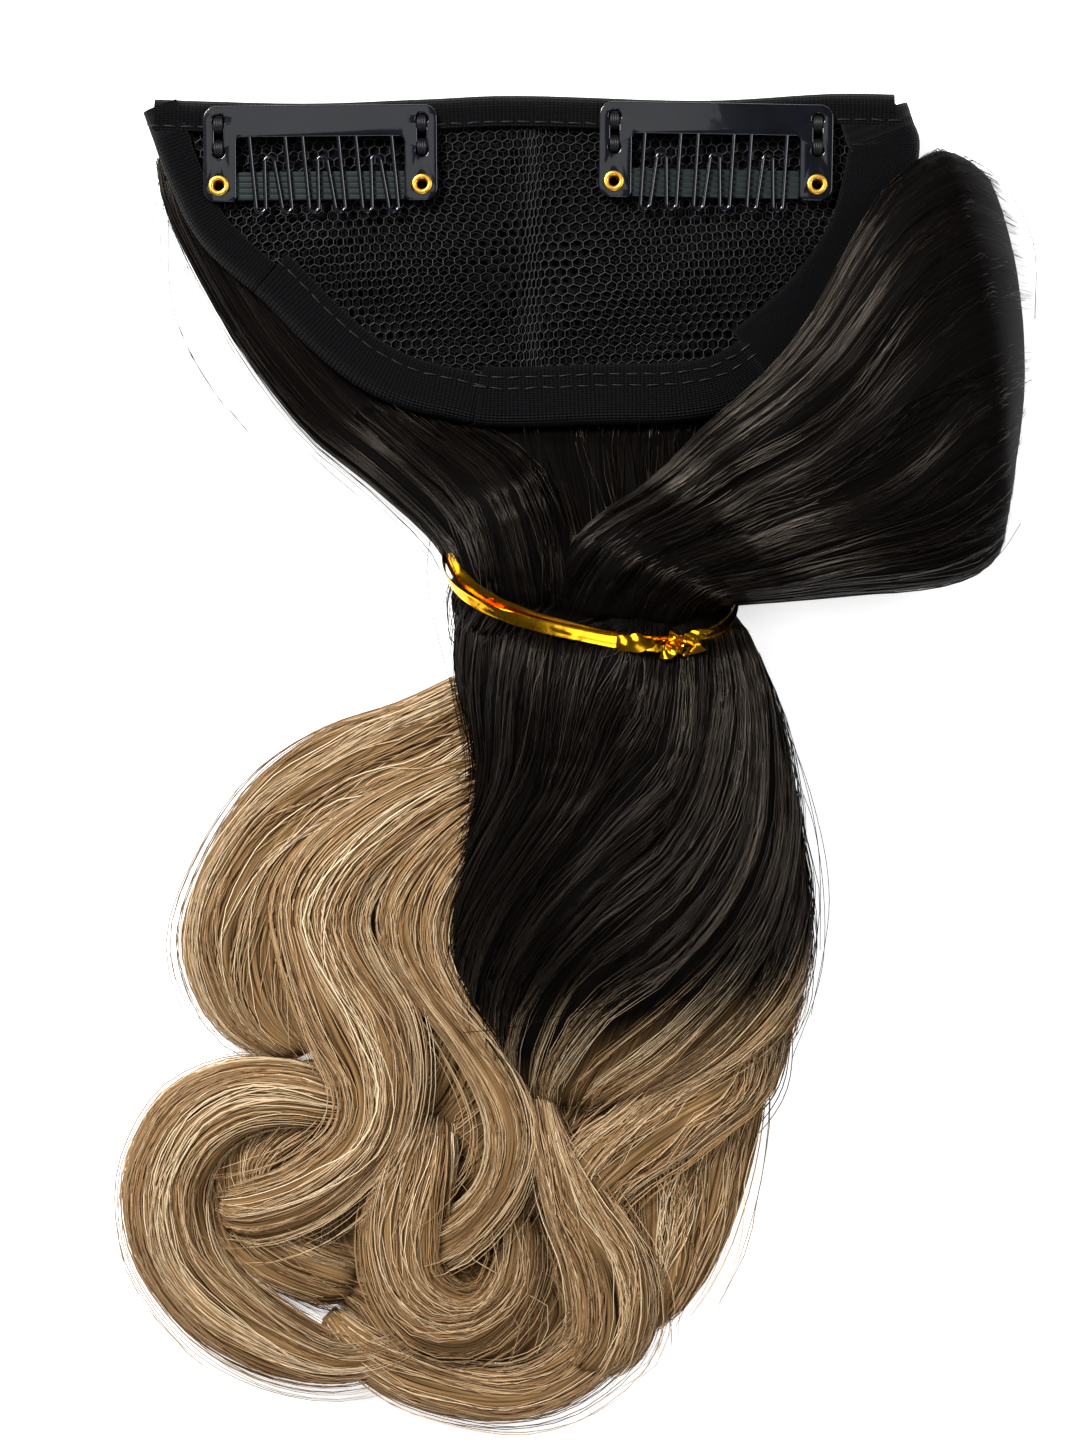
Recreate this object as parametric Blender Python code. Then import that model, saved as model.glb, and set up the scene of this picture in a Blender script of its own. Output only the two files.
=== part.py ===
"""Clip-in hair extension, lying with its net side up.

A net cap edged with folded tape carries two snap combs. The hair comes out
from under the cap, folds back over its right end, is gathered by a foil tie
and ends in loose curls. +X runs to the right along the cap, +Y towards the
cap's straight edge, +Z up. The origin is under the middle of the whole piece.
"""

import math

import bmesh
import bpy
from mathutils import Vector

MM = 0.001

# Clearances
GAP = 0.3 * MM  # between soft pieces that touch
METAL_FIT = 0.12 * MM  # between the small metal pieces

# Net cap
NET_WIDTH = 104.0 * MM
NET_DEPTH = 42.8 * MM
NET_WALL = 1.0 * MM
LOBE_RISE = 1.5 * MM  # how far the net swells on each side of its pleat
LOBE_REACH = 0.36  # share of the net's width from its pleat to a lobe's far side
LOBE_BREADTH = 0.7  # power that gives a lobe a broad crown
SWELL_START = 0.36  # shares of the way from the straight edge to the round one
SWELL_END = 0.82
SWELL_ROOM = 0.75  # share of the net's depth that lets it swell fully
PLEAT_WIDTH = 5.0 * MM
HAIR_BED = 4.4 * MM  # height of the hair that lies under the cap
CAP_X = -7.1 * MM  # the pleat, which is the middle of the cap

# Tapes folded over the net's edge
TAPE_WALL = 1.0 * MM
TOP_TAPE_REACH = 2.6 * MM
SIDE_TAPE_REACH = 3.2 * MM
LEFT_HEM_REACH = 5.2 * MM
RIGHT_HEM_REACH = 6.4 * MM
CORNER_CLOTH_REACH = 8.0 * MM

# Snap combs
CLIP_WIDTH = 32.0 * MM
CLIP_DEPTH = 13.1 * MM
CLIP_CORNER = 1.8 * MM
LEG_WIDTH = 4.5 * MM
SHEET = 0.6 * MM  # thickness of the sprung sheet
RAIL_TOP = 3.3 * MM  # from the clip's upper edge to the teeth's root rail
RAIL_DEPTH = 1.0 * MM
WIRE = 0.62 * MM
WIRE_FLAT = 0.9  # thickness of a tooth as a share of the sheet's
TOOTH_TIP = 14.9 * MM  # from the clip's upper edge to the lower loops
TOOTH_CREST = 6.7 * MM  # from the clip's upper edge to the upper loops
TOOTH_LOOP = 0.66 * MM  # radius of a loop at the wire's middle
GROUP_PITCH = 7.28 * MM
GROUP_SPAN = 4.9 * MM
GROUPS = 3
SLOT_HOLE = 0.85 * MM
SLOT_NECK = 1.2 * MM
SLOT_PITCH = 4.3 * MM
SLOT_TOP = 2.0 * MM
SLOT_INSET = 2.1 * MM
EYELET_INSET = 2.1 * MM
EYELET_DROP = 10.9 * MM
EYELET_BORE = 0.7 * MM
EYELET_BARREL = 0.95 * MM
EYELET_FLANGE = 1.42 * MM
EYELET_LIP = 0.25 * MM
BAR_WIDTH = 2.6 * MM
BAR_SHEET = 0.5 * MM
GRIP_WALL = 0.35 * MM
GRIP_WIDTH = 3.8 * MM

# Tie
TIE_X = 1.1 * MM
TIE_Y = 25.0 * MM
TIE_DROP = 64.0 * MM  # from the cap's straight edge to the tie
TIE_TURN = math.radians(-12.0)
TIE_LEAN = 8.6 * MM  # how much lower the tie runs on top than at its sides
TIE_BAND = 2.7 * MM
TIE_FOIL = 0.8 * MM
KNOT_START = 80.0  # degrees round the neck, from its right side
KNOT_SWEEP = -30.0
KNOT_WIDTH = 2.4 * MM
KNOT_THIN = 0.6  # thickness of the twisted end as a share of two plies
NECK_WIDTH = 39.0 * MM
NECK_HEIGHT = 16.0 * MM

# Hair
FOLD_REACH = 61.7 * MM
FOLD_RISE = 59.4 * MM
FOLD_HEIGHT = 21.0 * MM
FALL_REACH = 63.9 * MM
FALL_LENGTH = 116.0 * MM
BUNDLE_HEIGHT = 18.0 * MM
CURL_HEIGHT = 14.0 * MM
HAIR_SINK = 0.8 * MM  # how far a lock is pressed flat where it lies
FOLD_STRIPS = 5
BUNDLE_STRIPS = 4
STRIP_LAP = 0.55  # share of a strip that lies under its neighbour
STRIP_FALL = 0.35  # how much lower the strips at the sides are
LOCK_END = 1.8 * MM  # length of a lock's rounded end
END_STAGGER = 0.25  # how much longer each next lock's end is, as a share
BULGE_BREADTH = 0.6  # power that gives the fold's far end a broad bulge

# The neck's sections. Columns: share of its reach, share of its full section.
NECK_TAPER = ((-1.1, 0.86), (-0.6, 0.98), (0.0, 1.0), (0.6, 0.99), (1.1, 0.88))

# A lock's rounded end. Columns: share of the end's length, share of the section.
ROUND_END = ((0.6, 0.84), (1.0, 0.46))

# Heights that follow
TAPE_LOW = HAIR_BED + GAP
NET_LOW = TAPE_LOW + TAPE_WALL + GAP
NET_HIGH = NET_LOW + NET_WALL
TAPE_HIGH = NET_HIGH + GAP + TAPE_WALL
GRIP_LOW = TAPE_HIGH - TAPE_WALL
BAR_LOW = GRIP_LOW + GRIP_WALL + METAL_FIT
GRIP_HIGH = BAR_LOW + BAR_SHEET + METAL_FIT + GRIP_WALL
CLIP_LOW = max(GRIP_HIGH + METAL_FIT, TAPE_HIGH + GAP)
EDGE_INSET = TAPE_WALL + GAP  # from a tape's outer fold to the net's edge
CAP_Y = TIE_Y + TIE_DROP

# Net outline, as shares of the net's width from its middle and of its depth
# from the straight edge. Columns: across, down.
STRAIGHT_EDGE = (
    (-0.500, 0.006),
    (-0.305, 0.019),
    (-0.147, 0.006),
    (-0.016, -0.006),
    (0.221, 0.010),
    (0.392, -0.012),
    (0.480, -0.010),
)
ROUND_EDGE = (
    (-0.493, 0.067),
    (-0.468, 0.236),
    (-0.426, 0.428),
    (-0.345, 0.607),
    (-0.295, 0.732),
    (-0.233, 0.859),
    (-0.171, 0.936),
    (-0.108, 0.974),
    (-0.046, 1.000),
    (0.089, 0.990),
    (0.195, 0.984),
    (0.274, 0.939),
    (0.353, 0.802),
    (0.418, 0.642),
    (0.468, 0.450),
    (0.491, 0.259),
    (0.500, 0.115),
    (0.488, 0.045),
)

# Tapes along the outline. Columns: name, edge, start share, end share, reach.
TAPES = (
    ("top_binding", "straight", 0.005, 0.94, TOP_TAPE_REACH),
    ("side_binding", "round", 0.035, 0.175, SIDE_TAPE_REACH),
    ("left_hem_binding", "round", 0.182, 0.418, LEFT_HEM_REACH),
    ("right_hem_binding", "round", 0.425, 0.70, RIGHT_HEM_REACH),
    ("corner_cloth", "round", 0.707, 0.965, CORNER_CLOTH_REACH),
)

# Faces that close a folded tape's end: its lower leg, its fold and its upper leg
TAPE_ENDS = ((0, 1, 2, 3), (0, 3, 4, 7), (7, 4, 5, 6))

# Combs. Columns: name, which end of the net, distance in from that end, drop of
# the upper edge below the net's straight edge, turn in degrees, sideways lean
# of the tips.
CLIPS = (
    ("clip_left", -1, 6.98 * MM, 0.2 * MM, 0.5, 0.9 * MM),
    ("clip_right", 1, 10.73 * MM, -0.1 * MM, -1.0, -0.5 * MM),
)

# Root hair, as shares of the net's width from the cap's middle and of the tie's
# drop above the tie. Columns: left across, left up, right across, right up,
# height as a share of the bed, height as a share of the neck.
ROOTS = {
    "bed": (
        (-0.480, 0.965, 0.488, 0.965, 1.05, 0.00),
        (-0.452, 0.816, 0.491, 0.816, 1.20, 0.00),
        (-0.404, 0.677, 0.458, 0.677, 1.20, 0.00),
        (-0.305, 0.517, 0.392, 0.517, 1.20, 0.00),
        (-0.213, 0.368, 0.300, 0.368, 1.20, 0.00),
        (-0.134, 0.218, 0.247, 0.200, 0.60, 0.38),
        (-0.095, 0.068, 0.255, 0.000, 0.00, 0.88),
    ),
    "left_outer": (
        (-0.503, 0.902, -0.440, 0.912, 0.85, 0.00),
        (-0.483, 0.784, -0.405, 0.795, 1.00, 0.00),
        (-0.439, 0.641, -0.350, 0.675, 1.05, 0.00),
        (-0.380, 0.474, -0.279, 0.540, 1.10, 0.00),
        (-0.301, 0.308, -0.200, 0.400, 1.10, 0.00),
        (-0.211, 0.192, -0.121, 0.282, 0.70, 0.30),
        (-0.108, 0.050, -0.020, 0.110, 0.00, 0.78),
    ),
    "left_inner": (
        (-0.265, 0.365, -0.140, 0.420, 1.05, 0.00),
        (-0.190, 0.250, -0.070, 0.330, 0.85, 0.25),
        (-0.095, 0.110, 0.020, 0.190, 0.00, 0.88),
        (-0.060, -0.020, 0.060, 0.040, 0.00, 0.93),
    ),
    "middle": (
        (-0.020, 0.340, 0.055, 0.340, 1.05, 0.00),
        (-0.010, 0.200, 0.060, 0.200, 0.50, 0.42),
        (0.010, 0.060, 0.085, 0.060, 0.00, 0.90),
        (0.020, -0.060, 0.100, -0.060, 0.00, 0.95),
    ),
    "right": (
        (0.080, 0.340, 0.250, 0.340, 1.05, 0.00),
        (0.090, 0.200, 0.235, 0.190, 0.50, 0.42),
        (0.095, 0.060, 0.220, 0.030, 0.00, 0.88),
    ),
}

# The hair that folds back over the cap's right end, as shares of its reach to
# the right and of its rise above the tie. Columns: inner across, inner up,
# outer across, outer up, crown, bulge of the far end.
FOLD = (
    (-0.020, 0.020, 0.310, -0.065, 0.62, 0.00),
    (0.045, 0.110, 0.345, -0.072, 0.72, 0.00),
    (0.135, 0.220, 0.461, -0.060, 0.84, 0.00),
    (0.251, 0.339, 0.572, -0.046, 0.93, 0.00),
    (0.373, 0.447, 0.672, -0.035, 1.00, 0.00),
    (0.472, 0.569, 0.761, -0.021, 1.00, 0.01),
    (0.561, 0.742, 0.827, -0.002, 1.00, 0.02),
    (0.645, 0.880, 0.871, 0.023, 0.97, 0.03),
    (0.761, 0.972, 0.900, 0.062, 0.86, 0.05),
    (0.871, 0.975, 0.911, 0.120, 0.62, 0.075),
)

# The dark bundle below the tie, as shares of the fall's reach and length.
# Columns: left across, left down, right across, right down, crown.
BUNDLE = (
    (-0.285, 0.015, 0.306, 0.033, 0.80),
    (-0.283, 0.127, 0.377, 0.127, 0.98),
    (-0.240, 0.240, 0.424, 0.222, 1.00),
    (-0.268, 0.328, 0.456, 0.328, 0.98),
    (-0.296, 0.410, 0.462, 0.422, 0.94),
    (-0.289, 0.493, 0.445, 0.505, 0.86),
    (-0.236, 0.570, 0.370, 0.570, 0.74),
    (-0.140, 0.635, 0.160, 0.634, 0.55),
)

# The fair curls, in the same shares. Columns: left across, left down, right
# across, right down, height as a share of the curls' height.
CURLS = {
    "outer_sweep": (
        (-0.260, 0.113, -0.229, 0.222, 0.50),
        (-0.410, 0.157, -0.347, 0.269, 0.52),
        (-0.580, 0.196, -0.497, 0.328, 0.52),
        (-0.730, 0.257, -0.604, 0.375, 0.52),
        (-0.830, 0.340, -0.625, 0.410, 0.52),
        (-0.880, 0.422, -0.625, 0.446, 0.52),
        (-0.860, 0.487, -0.615, 0.487, 0.50),
        (-0.790, 0.546, -0.593, 0.522, 0.48),
        (-0.660, 0.585, -0.561, 0.558, 0.46),
    ),
    "long_wave": (
        (-0.244, 0.204, -0.227, 0.281, 0.60),
        (-0.443, 0.251, -0.358, 0.328, 0.75),
        (-0.615, 0.316, -0.443, 0.375, 0.85),
        (-0.685, 0.387, -0.475, 0.416, 0.90),
        (-0.657, 0.463, -0.443, 0.463, 0.92),
        (-0.604, 0.540, -0.379, 0.522, 0.92),
        (-0.540, 0.605, -0.368, 0.605, 0.92),
        (-0.550, 0.658, -0.420, 0.690, 0.88),
        (-0.647, 0.699, -0.561, 0.764, 0.80),
        (-0.754, 0.723, -0.722, 0.791, 0.70),
        (-0.814, 0.735, -0.829, 0.765, 0.50),
    ),
    "short_wave": (
        (-0.231, 0.251, -0.223, 0.328, 0.70),
        (-0.368, 0.310, -0.261, 0.369, 0.84),
        (-0.450, 0.375, -0.283, 0.416, 0.90),
        (-0.454, 0.434, -0.283, 0.458, 0.90),
        (-0.394, 0.493, -0.240, 0.511, 0.86),
        (-0.308, 0.552, -0.197, 0.558, 0.84),
        (-0.240, 0.617, -0.143, 0.611, 0.88),
        (-0.218, 0.670, -0.122, 0.670, 0.90),
        (-0.244, 0.723, -0.154, 0.735, 0.84),
        (-0.315, 0.758, -0.250, 0.800, 0.70),
        (-0.411, 0.782, -0.368, 0.835, 0.50),
    ),
    "backing": (
        (-0.540, 0.611, -0.154, 0.623, 0.30),
        (-0.690, 0.682, -0.069, 0.682, 0.34),
        (-0.792, 0.741, 0.017, 0.741, 0.34),
        (-0.764, 0.805, 0.049, 0.811, 0.34),
        (-0.540, 0.870, 0.049, 0.882, 0.34),
        (-0.454, 0.935, -0.069, 0.947, 0.32),
    ),
    "round_curl": (
        (-0.500, 0.605, -0.500, 0.670, 0.60),
        (-0.647, 0.580, -0.625, 0.652, 0.66),
        (-0.786, 0.580, -0.722, 0.658, 0.72),
        (-0.914, 0.617, -0.792, 0.682, 0.74),
        (-0.983, 0.682, -0.829, 0.717, 0.74),
        (-1.000, 0.746, -0.833, 0.758, 0.72),
        (-0.968, 0.823, -0.801, 0.805, 0.68),
        (-0.861, 0.900, -0.728, 0.849, 0.64),
        (-0.722, 0.945, -0.625, 0.888, 0.60),
        (-0.572, 0.961, -0.529, 0.912, 0.56),
        (-0.443, 0.947, -0.433, 0.906, 0.50),
    ),
    "middle_curl": (
        (-0.420, 0.634, -0.261, 0.652, 0.75),
        (-0.465, 0.699, -0.304, 0.717, 0.80),
        (-0.495, 0.776, -0.325, 0.782, 0.82),
        (-0.471, 0.853, -0.325, 0.823, 0.80),
        (-0.390, 0.912, -0.278, 0.847, 0.76),
        (-0.272, 0.927, -0.229, 0.841, 0.72),
        (-0.165, 0.894, -0.201, 0.809, 0.66),
        (-0.107, 0.829, -0.197, 0.776, 0.60),
        (-0.111, 0.758, -0.186, 0.746, 0.50),
    ),
    "bottom_ring": (
        (-0.529, 0.943, -0.486, 0.900, 0.46),
        (-0.422, 0.979, -0.390, 0.927, 0.52),
        (-0.293, 0.996, -0.283, 0.943, 0.56),
        (-0.165, 1.000, -0.180, 0.946, 0.58),
        (-0.047, 0.982, -0.090, 0.927, 0.58),
        (0.049, 0.941, -0.015, 0.888, 0.56),
        (0.113, 0.882, 0.028, 0.841, 0.52),
    ),
    "centre_wave": (
        (-0.170, 0.600, -0.080, 0.600, 0.72),
        (-0.137, 0.676, -0.058, 0.664, 0.88),
        (-0.105, 0.752, 0.028, 0.729, 0.95),
        (-0.043, 0.835, 0.124, 0.814, 0.95),
        (-0.026, 0.906, 0.139, 0.888, 0.86),
        (-0.079, 0.947, 0.077, 0.959, 0.60),
    ),
    "right_wave": (
        (0.340, 0.530, 0.440, 0.520, 0.72),
        (0.231, 0.593, 0.392, 0.611, 0.82),
        (0.103, 0.617, 0.274, 0.670, 0.86),
        (-0.004, 0.658, 0.146, 0.715, 0.82),
        (-0.069, 0.705, 0.060, 0.746, 0.76),
        (-0.077, 0.746, 0.017, 0.770, 0.60),
    ),
    "right_back": (
        (0.103, 0.600, 0.395, 0.540, 0.62),
        (0.060, 0.705, 0.362, 0.658, 0.52),
        (0.071, 0.776, 0.313, 0.752, 0.46),
        (0.092, 0.847, 0.242, 0.841, 0.40),
        (0.095, 0.894, 0.150, 0.906, 0.36),
    ),
}

# Colours. Columns: name, red, green, blue, roughness, metallic.
FINISHES = {
    "net": (0.012, 0.012, 0.013, 0.85, 0.0),
    "tape": (0.010, 0.010, 0.011, 0.80, 0.0),
    "lacquered_steel": (0.030, 0.032, 0.040, 0.30, 0.9),
    "silicone": (0.020, 0.036, 0.032, 0.45, 0.0),
    "brass": (0.62, 0.36, 0.08, 0.28, 1.0),
    "foil": (0.80, 0.44, 0.02, 0.22, 1.0),
    "dark_hair": (0.016, 0.011, 0.009, 0.38, 0.0),
    "fair_hair": (0.46, 0.27, 0.12, 0.42, 0.0),
}


def clear_scene():
    for item in list(bpy.data.objects):
        bpy.data.objects.remove(item, do_unlink=True)


def finish(name):
    """The material of one finish, made once."""
    found = bpy.data.materials.get(name)
    if found:
        return found
    red, green, blue, roughness, metallic = FINISHES[name]
    material = bpy.data.materials.new(name)
    material.use_nodes = True
    shader = material.node_tree.nodes["Principled BSDF"]
    shader.inputs["Base Color"].default_value = (red, green, blue, 1.0)
    shader.inputs["Roughness"].default_value = roughness
    shader.inputs["Metallic"].default_value = metallic
    return material


def new_object(name, mesh_maker, finish_name, smooth=False):
    """An object whose mesh is filled by mesh_maker(bmesh)."""
    mesh = bpy.data.meshes.new(name)
    work = bmesh.new()
    mesh_maker(work)
    bmesh.ops.triangulate(work, faces=work.faces)
    bmesh.ops.recalc_face_normals(work, faces=work.faces)
    work.to_mesh(mesh)
    work.free()
    if smooth:
        mesh.shade_smooth()
        mesh.set_sharp_from_angle(angle=math.radians(50.0))
    made = bpy.data.objects.new(name, mesh)
    bpy.context.scene.collection.objects.link(made)
    mesh.materials.append(finish(finish_name))
    return made


def hide_guide(item):
    item.hide_render = True
    item.display_type = "WIRE"


def through(rows, steps):
    """Rows on a smooth curve through the given rows, steps of them to a span."""
    found = []
    last = len(rows) - 1
    for i in range(last):
        before = rows[max(i - 1, 0)]
        start = rows[i]
        end = rows[i + 1]
        after = rows[min(i + 2, last)]
        for k in range(steps):
            t = k / steps
            found.append(tuple(spline(t, *four) for four in zip(before, start, end, after)))
    found.append(tuple(rows[last]))
    return found


def spline(t, a, b, c, d):
    return 0.5 * (
        2 * b + (c - a) * t + (2 * a - 5 * b + 4 * c - d) * t**2 + (3 * b - a - 3 * c + d) * t**3
    )


def evenly(points, start, end, count):
    """Points at even distances along a curve, between two shares of its length."""
    lengths = [0.0]
    for a, b in zip(points, points[1:]):
        lengths.append(lengths[-1] + (b - a).length)
    found = []
    for k in range(count):
        want = (start + (end - start) * k / (count - 1)) * lengths[-1]
        i = 0
        while i < len(points) - 2 and lengths[i + 1] < want:
            i += 1
        share = (want - lengths[i]) / (lengths[i + 1] - lengths[i])
        found.append(points[i].lerp(points[i + 1], share))
    return found


def loft(work, rings, round_trip=False, cap=None):
    """Quads between rings of points, closed by end caps or back to the start.

    cap gives the corners of each face of an end, where a section isn't convex.
    """
    layers = [[work.verts.new(point) for point in ring] for ring in rings]
    pairs = list(zip(layers, layers[1:]))
    if round_trip:
        pairs.append((layers[-1], layers[0]))
    for one, two in pairs:
        for k in range(len(one)):
            n = (k + 1) % len(one)
            work.faces.new((one[k], one[n], two[n], two[k]))
    if not round_trip:
        for layer in (layers[0], layers[-1]):
            for corners in cap or [range(len(layer))]:
                work.faces.new([layer[k] for k in corners])


def rounded(angle, squareness=2.5):
    """A point on a rounded section that reaches from -1 to 1 both ways."""
    across = math.cos(angle)
    up = math.sin(angle)
    power = 2 / squareness
    return (
        math.copysign(abs(across) ** power, across),
        math.copysign(abs(up) ** power, up),
    )


# Net and tapes


def cap_point(across, down):
    return Vector((CAP_X + across * NET_WIDTH, CAP_Y - down * NET_DEPTH))


def edge_curve(edge):
    rows = STRAIGHT_EDGE if edge == "straight" else ROUND_EDGE
    return [cap_point(*row) for row in through(rows, 4)]


def outward(points, i):
    """The direction in plan that leaves the cap at a point of its edge."""
    along = points[min(i + 1, len(points) - 1)] - points[max(i - 1, 0)]
    across = Vector((along.y, -along.x)).normalized()
    middle = cap_point(0.0, 0.4)
    return across if across.dot(points[i] - middle) > 0 else -across


def net_swell(point, share, depth):
    """How far the net rises above its flat edge."""
    aside = abs(point.x - CAP_X)
    lobe = math.sin(math.pi * min(aside / (LOBE_REACH * NET_WIDTH), 1.0))
    pleat = 1.0 - math.exp(-((aside / PLEAT_WIDTH) ** 2))
    way = (share - SWELL_START) / (SWELL_END - SWELL_START)
    along = math.sin(math.pi * min(max(way, 0.0), 1.0)) ** 2
    room = min(depth / (SWELL_ROOM * NET_DEPTH), 1.0) ** 3
    return LOBE_RISE * max(lobe, 0.0) ** LOBE_BREADTH * pleat * along * room


def make_net():
    columns = 33
    rows = 12
    top = evenly(edge_curve("straight"), 0.0, 1.0, columns)
    low = evenly(edge_curve("round"), 0.0, 1.0, columns)

    def fill(work):
        rings = []
        for start, end in zip(top, low):
            depth = (end - start).length
            upper = []
            for k in range(rows + 1):
                share = k / rows
                point = start.lerp(end, share)
                lift = net_swell(point, share, depth)
                upper.append((point.x, point.y, NET_LOW + lift))
            lower = [(x, y, z + NET_WALL) for x, y, z in upper]
            rings.append(upper + lower[::-1])
        loft(work, rings)

    return new_object("net_cap", fill, "net", smooth=True)


def tape_section(reach):
    """A folded tape's section. Columns: inward from its fold, height."""
    return (
        (0.0, TAPE_LOW),
        (reach + EDGE_INSET, TAPE_LOW),
        (reach + EDGE_INSET, TAPE_LOW + TAPE_WALL),
        (TAPE_WALL, TAPE_LOW + TAPE_WALL),
        (TAPE_WALL, TAPE_HIGH - TAPE_WALL),
        (reach + EDGE_INSET, TAPE_HIGH - TAPE_WALL),
        (reach + EDGE_INSET, TAPE_HIGH),
        (0.0, TAPE_HIGH),
    )


def make_tape(name, edge, start, end, reach):
    count = max(4, round((end - start) * 40))
    points = evenly(edge_curve(edge), start, end, count)

    def fill(work):
        rings = []
        for i, point in enumerate(points):
            out = outward(points, i)
            fold = point + out * EDGE_INSET
            ring = []
            for inward, height in tape_section(reach):
                place = fold - out * inward
                ring.append((place.x, place.y, height))
            rings.append(ring)
        loft(work, rings, cap=TAPE_ENDS)

    return new_object(name, fill, "tape")


def make_cap_room():
    """The room that the cap and its tapes take in the hair."""
    margin = EDGE_INSET + GAP
    outline = []
    for edge in ("straight", "round"):
        points = evenly(edge_curve(edge), 0.0, 1.0, 36)
        line = [p + outward(points, i) * margin for i, p in enumerate(points)]
        outline.extend(line if edge == "straight" else line[::-1])
    high = max(TAPE_HIGH, NET_HIGH + LOBE_RISE) + GAP

    def fill(work):
        rings = [[(p.x, p.y, z) for p in outline] for z in (HAIR_BED, high)]
        loft(work, rings)

    made = new_object("cap_room", fill, "net")
    hide_guide(made)
    return made


# Snap combs


class Clip:
    """Places a clip's own plan coordinates, measured down from its upper edge."""

    def __init__(self, name, side, inset, drop, turn, lean):
        middle = side * (NET_WIDTH / 2 - inset - CLIP_WIDTH / 2)
        self.name = name
        self.lean = lean
        self.turn = math.radians(turn)
        self.origin = Vector((CAP_X + middle, CAP_Y - drop, 0.0))

    def place(self, item):
        item.location = item.location + self.origin
        item.rotation_euler = (0.0, 0.0, self.turn)

    def axis_point(self):
        """Where the teeth's root rail turns, in the clip's own coordinates."""
        return Vector((0.0, -(RAIL_TOP + RAIL_DEPTH / 2), CLIP_LOW + SHEET / 2))


def arc(centre, radius, start, end, count):
    """Points on an arc in plan, with its angles in degrees."""
    found = []
    for k in range(count):
        angle = math.radians(start + (end - start) * k / (count - 1))
        found.append((centre[0] + radius * math.cos(angle), centre[1] + radius * math.sin(angle)))
    return found


def flat_part(name, outlines, low, thickness, finish_name):
    """A flat plate with holes, filled between closed outlines."""
    curve = bpy.data.curves.new(name, "CURVE")
    curve.dimensions = "2D"
    curve.fill_mode = "BOTH"
    curve.extrude = thickness / 2
    for outline in outlines:
        line = curve.splines.new("POLY")
        line.points.add(len(outline) - 1)
        line.use_cyclic_u = True
        for point, (x, y) in zip(line.points, outline):
            point.co = (x, y, 0.0, 1.0)
    made = bpy.data.objects.new(name, curve)
    bpy.context.scene.collection.objects.link(made)
    curve.materials.append(finish(finish_name))
    made.location.z = low + thickness / 2
    return made


def slot_outline(x):
    """A thread slot: two round holes joined by a narrower neck."""
    upper = (x, -SLOT_TOP)
    lower = (x, -SLOT_TOP - SLOT_PITCH)
    open_angle = math.degrees(math.asin(SLOT_NECK / 2 / SLOT_HOLE))
    return arc(upper, SLOT_HOLE, -90 + open_angle, 270 - open_angle, 9) + arc(
        lower, SLOT_HOLE, 90 + open_angle, 450 - open_angle, 9
    )


def frame_outline():
    """The sprung sheet's outer edge, with the gap between its two legs."""
    side = CLIP_WIDTH / 2
    inner = side - LEG_WIDTH
    notch = -(RAIL_TOP - METAL_FIT)
    corner = CLIP_CORNER
    points = arc((side - corner, -corner), corner, 0, 90, 5)
    points += arc((-side + corner, -corner), corner, 90, 180, 5)
    points += arc((-side + corner, -CLIP_DEPTH + corner), corner, 180, 270, 5)
    points += [(-inner, -CLIP_DEPTH), (-inner, notch), (inner, notch), (inner, -CLIP_DEPTH)]
    points += arc((side - corner, -CLIP_DEPTH + corner), corner, 270, 360, 5)
    return points


def eyelet_places():
    aside = CLIP_WIDTH / 2 - EYELET_INSET
    return ((-aside, -EYELET_DROP), (aside, -EYELET_DROP))


def make_frame(clip):
    slot_aside = CLIP_WIDTH / 2 - SLOT_INSET
    outlines = [frame_outline(), slot_outline(-slot_aside), slot_outline(slot_aside)]
    for place in eyelet_places():
        outlines.append(arc(place, EYELET_BARREL + METAL_FIT, 0, 337.5, 16))
    made = flat_part(clip.name + "_frame", outlines, CLIP_LOW, SHEET, "lacquered_steel")
    clip.place(made)
    return made


def tooth_line(middle, lean):
    """The wire of one group: down, round, up, over, down, round and up."""
    half = GROUP_SPAN / 2
    tip = -(TOOTH_TIP - WIRE / 2 - TOOTH_LOOP)
    crest = -(TOOTH_CREST + WIRE / 2 + TOOTH_LOOP)
    aside = half - TOOTH_LOOP
    root = -(RAIL_TOP + RAIL_DEPTH / 2)
    points = [(middle - half, root)]
    points += arc((middle - aside + lean, tip), TOOTH_LOOP, 180, 360, 7)
    points += arc((middle + lean / 3, crest), TOOTH_LOOP, 180, 0, 7)
    points += arc((middle + aside + lean, tip), TOOTH_LOOP, 180, 360, 7)
    points.append((middle + half, root))
    return [Vector(point) for point in points]


def ribbon(work, line, width, low, high):
    """A flat wire along a line in plan."""
    rings = []
    last = len(line) - 1
    for i, point in enumerate(line):
        before = (point - line[max(i - 1, 0)]).normalized() if i else None
        after = (line[min(i + 1, last)] - point).normalized() if i < last else None
        along = ((before or after) + (after or before)).normalized()
        aside = Vector((-along.y, along.x)) * width / 2
        if before and after:
            aside = aside / max(along.dot(after), 0.5)
        one = point + aside
        two = point - aside
        rings.append(
            [(one.x, one.y, low), (two.x, two.y, low), (two.x, two.y, high), (one.x, one.y, high)]
        )
    loft(work, rings)


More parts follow.
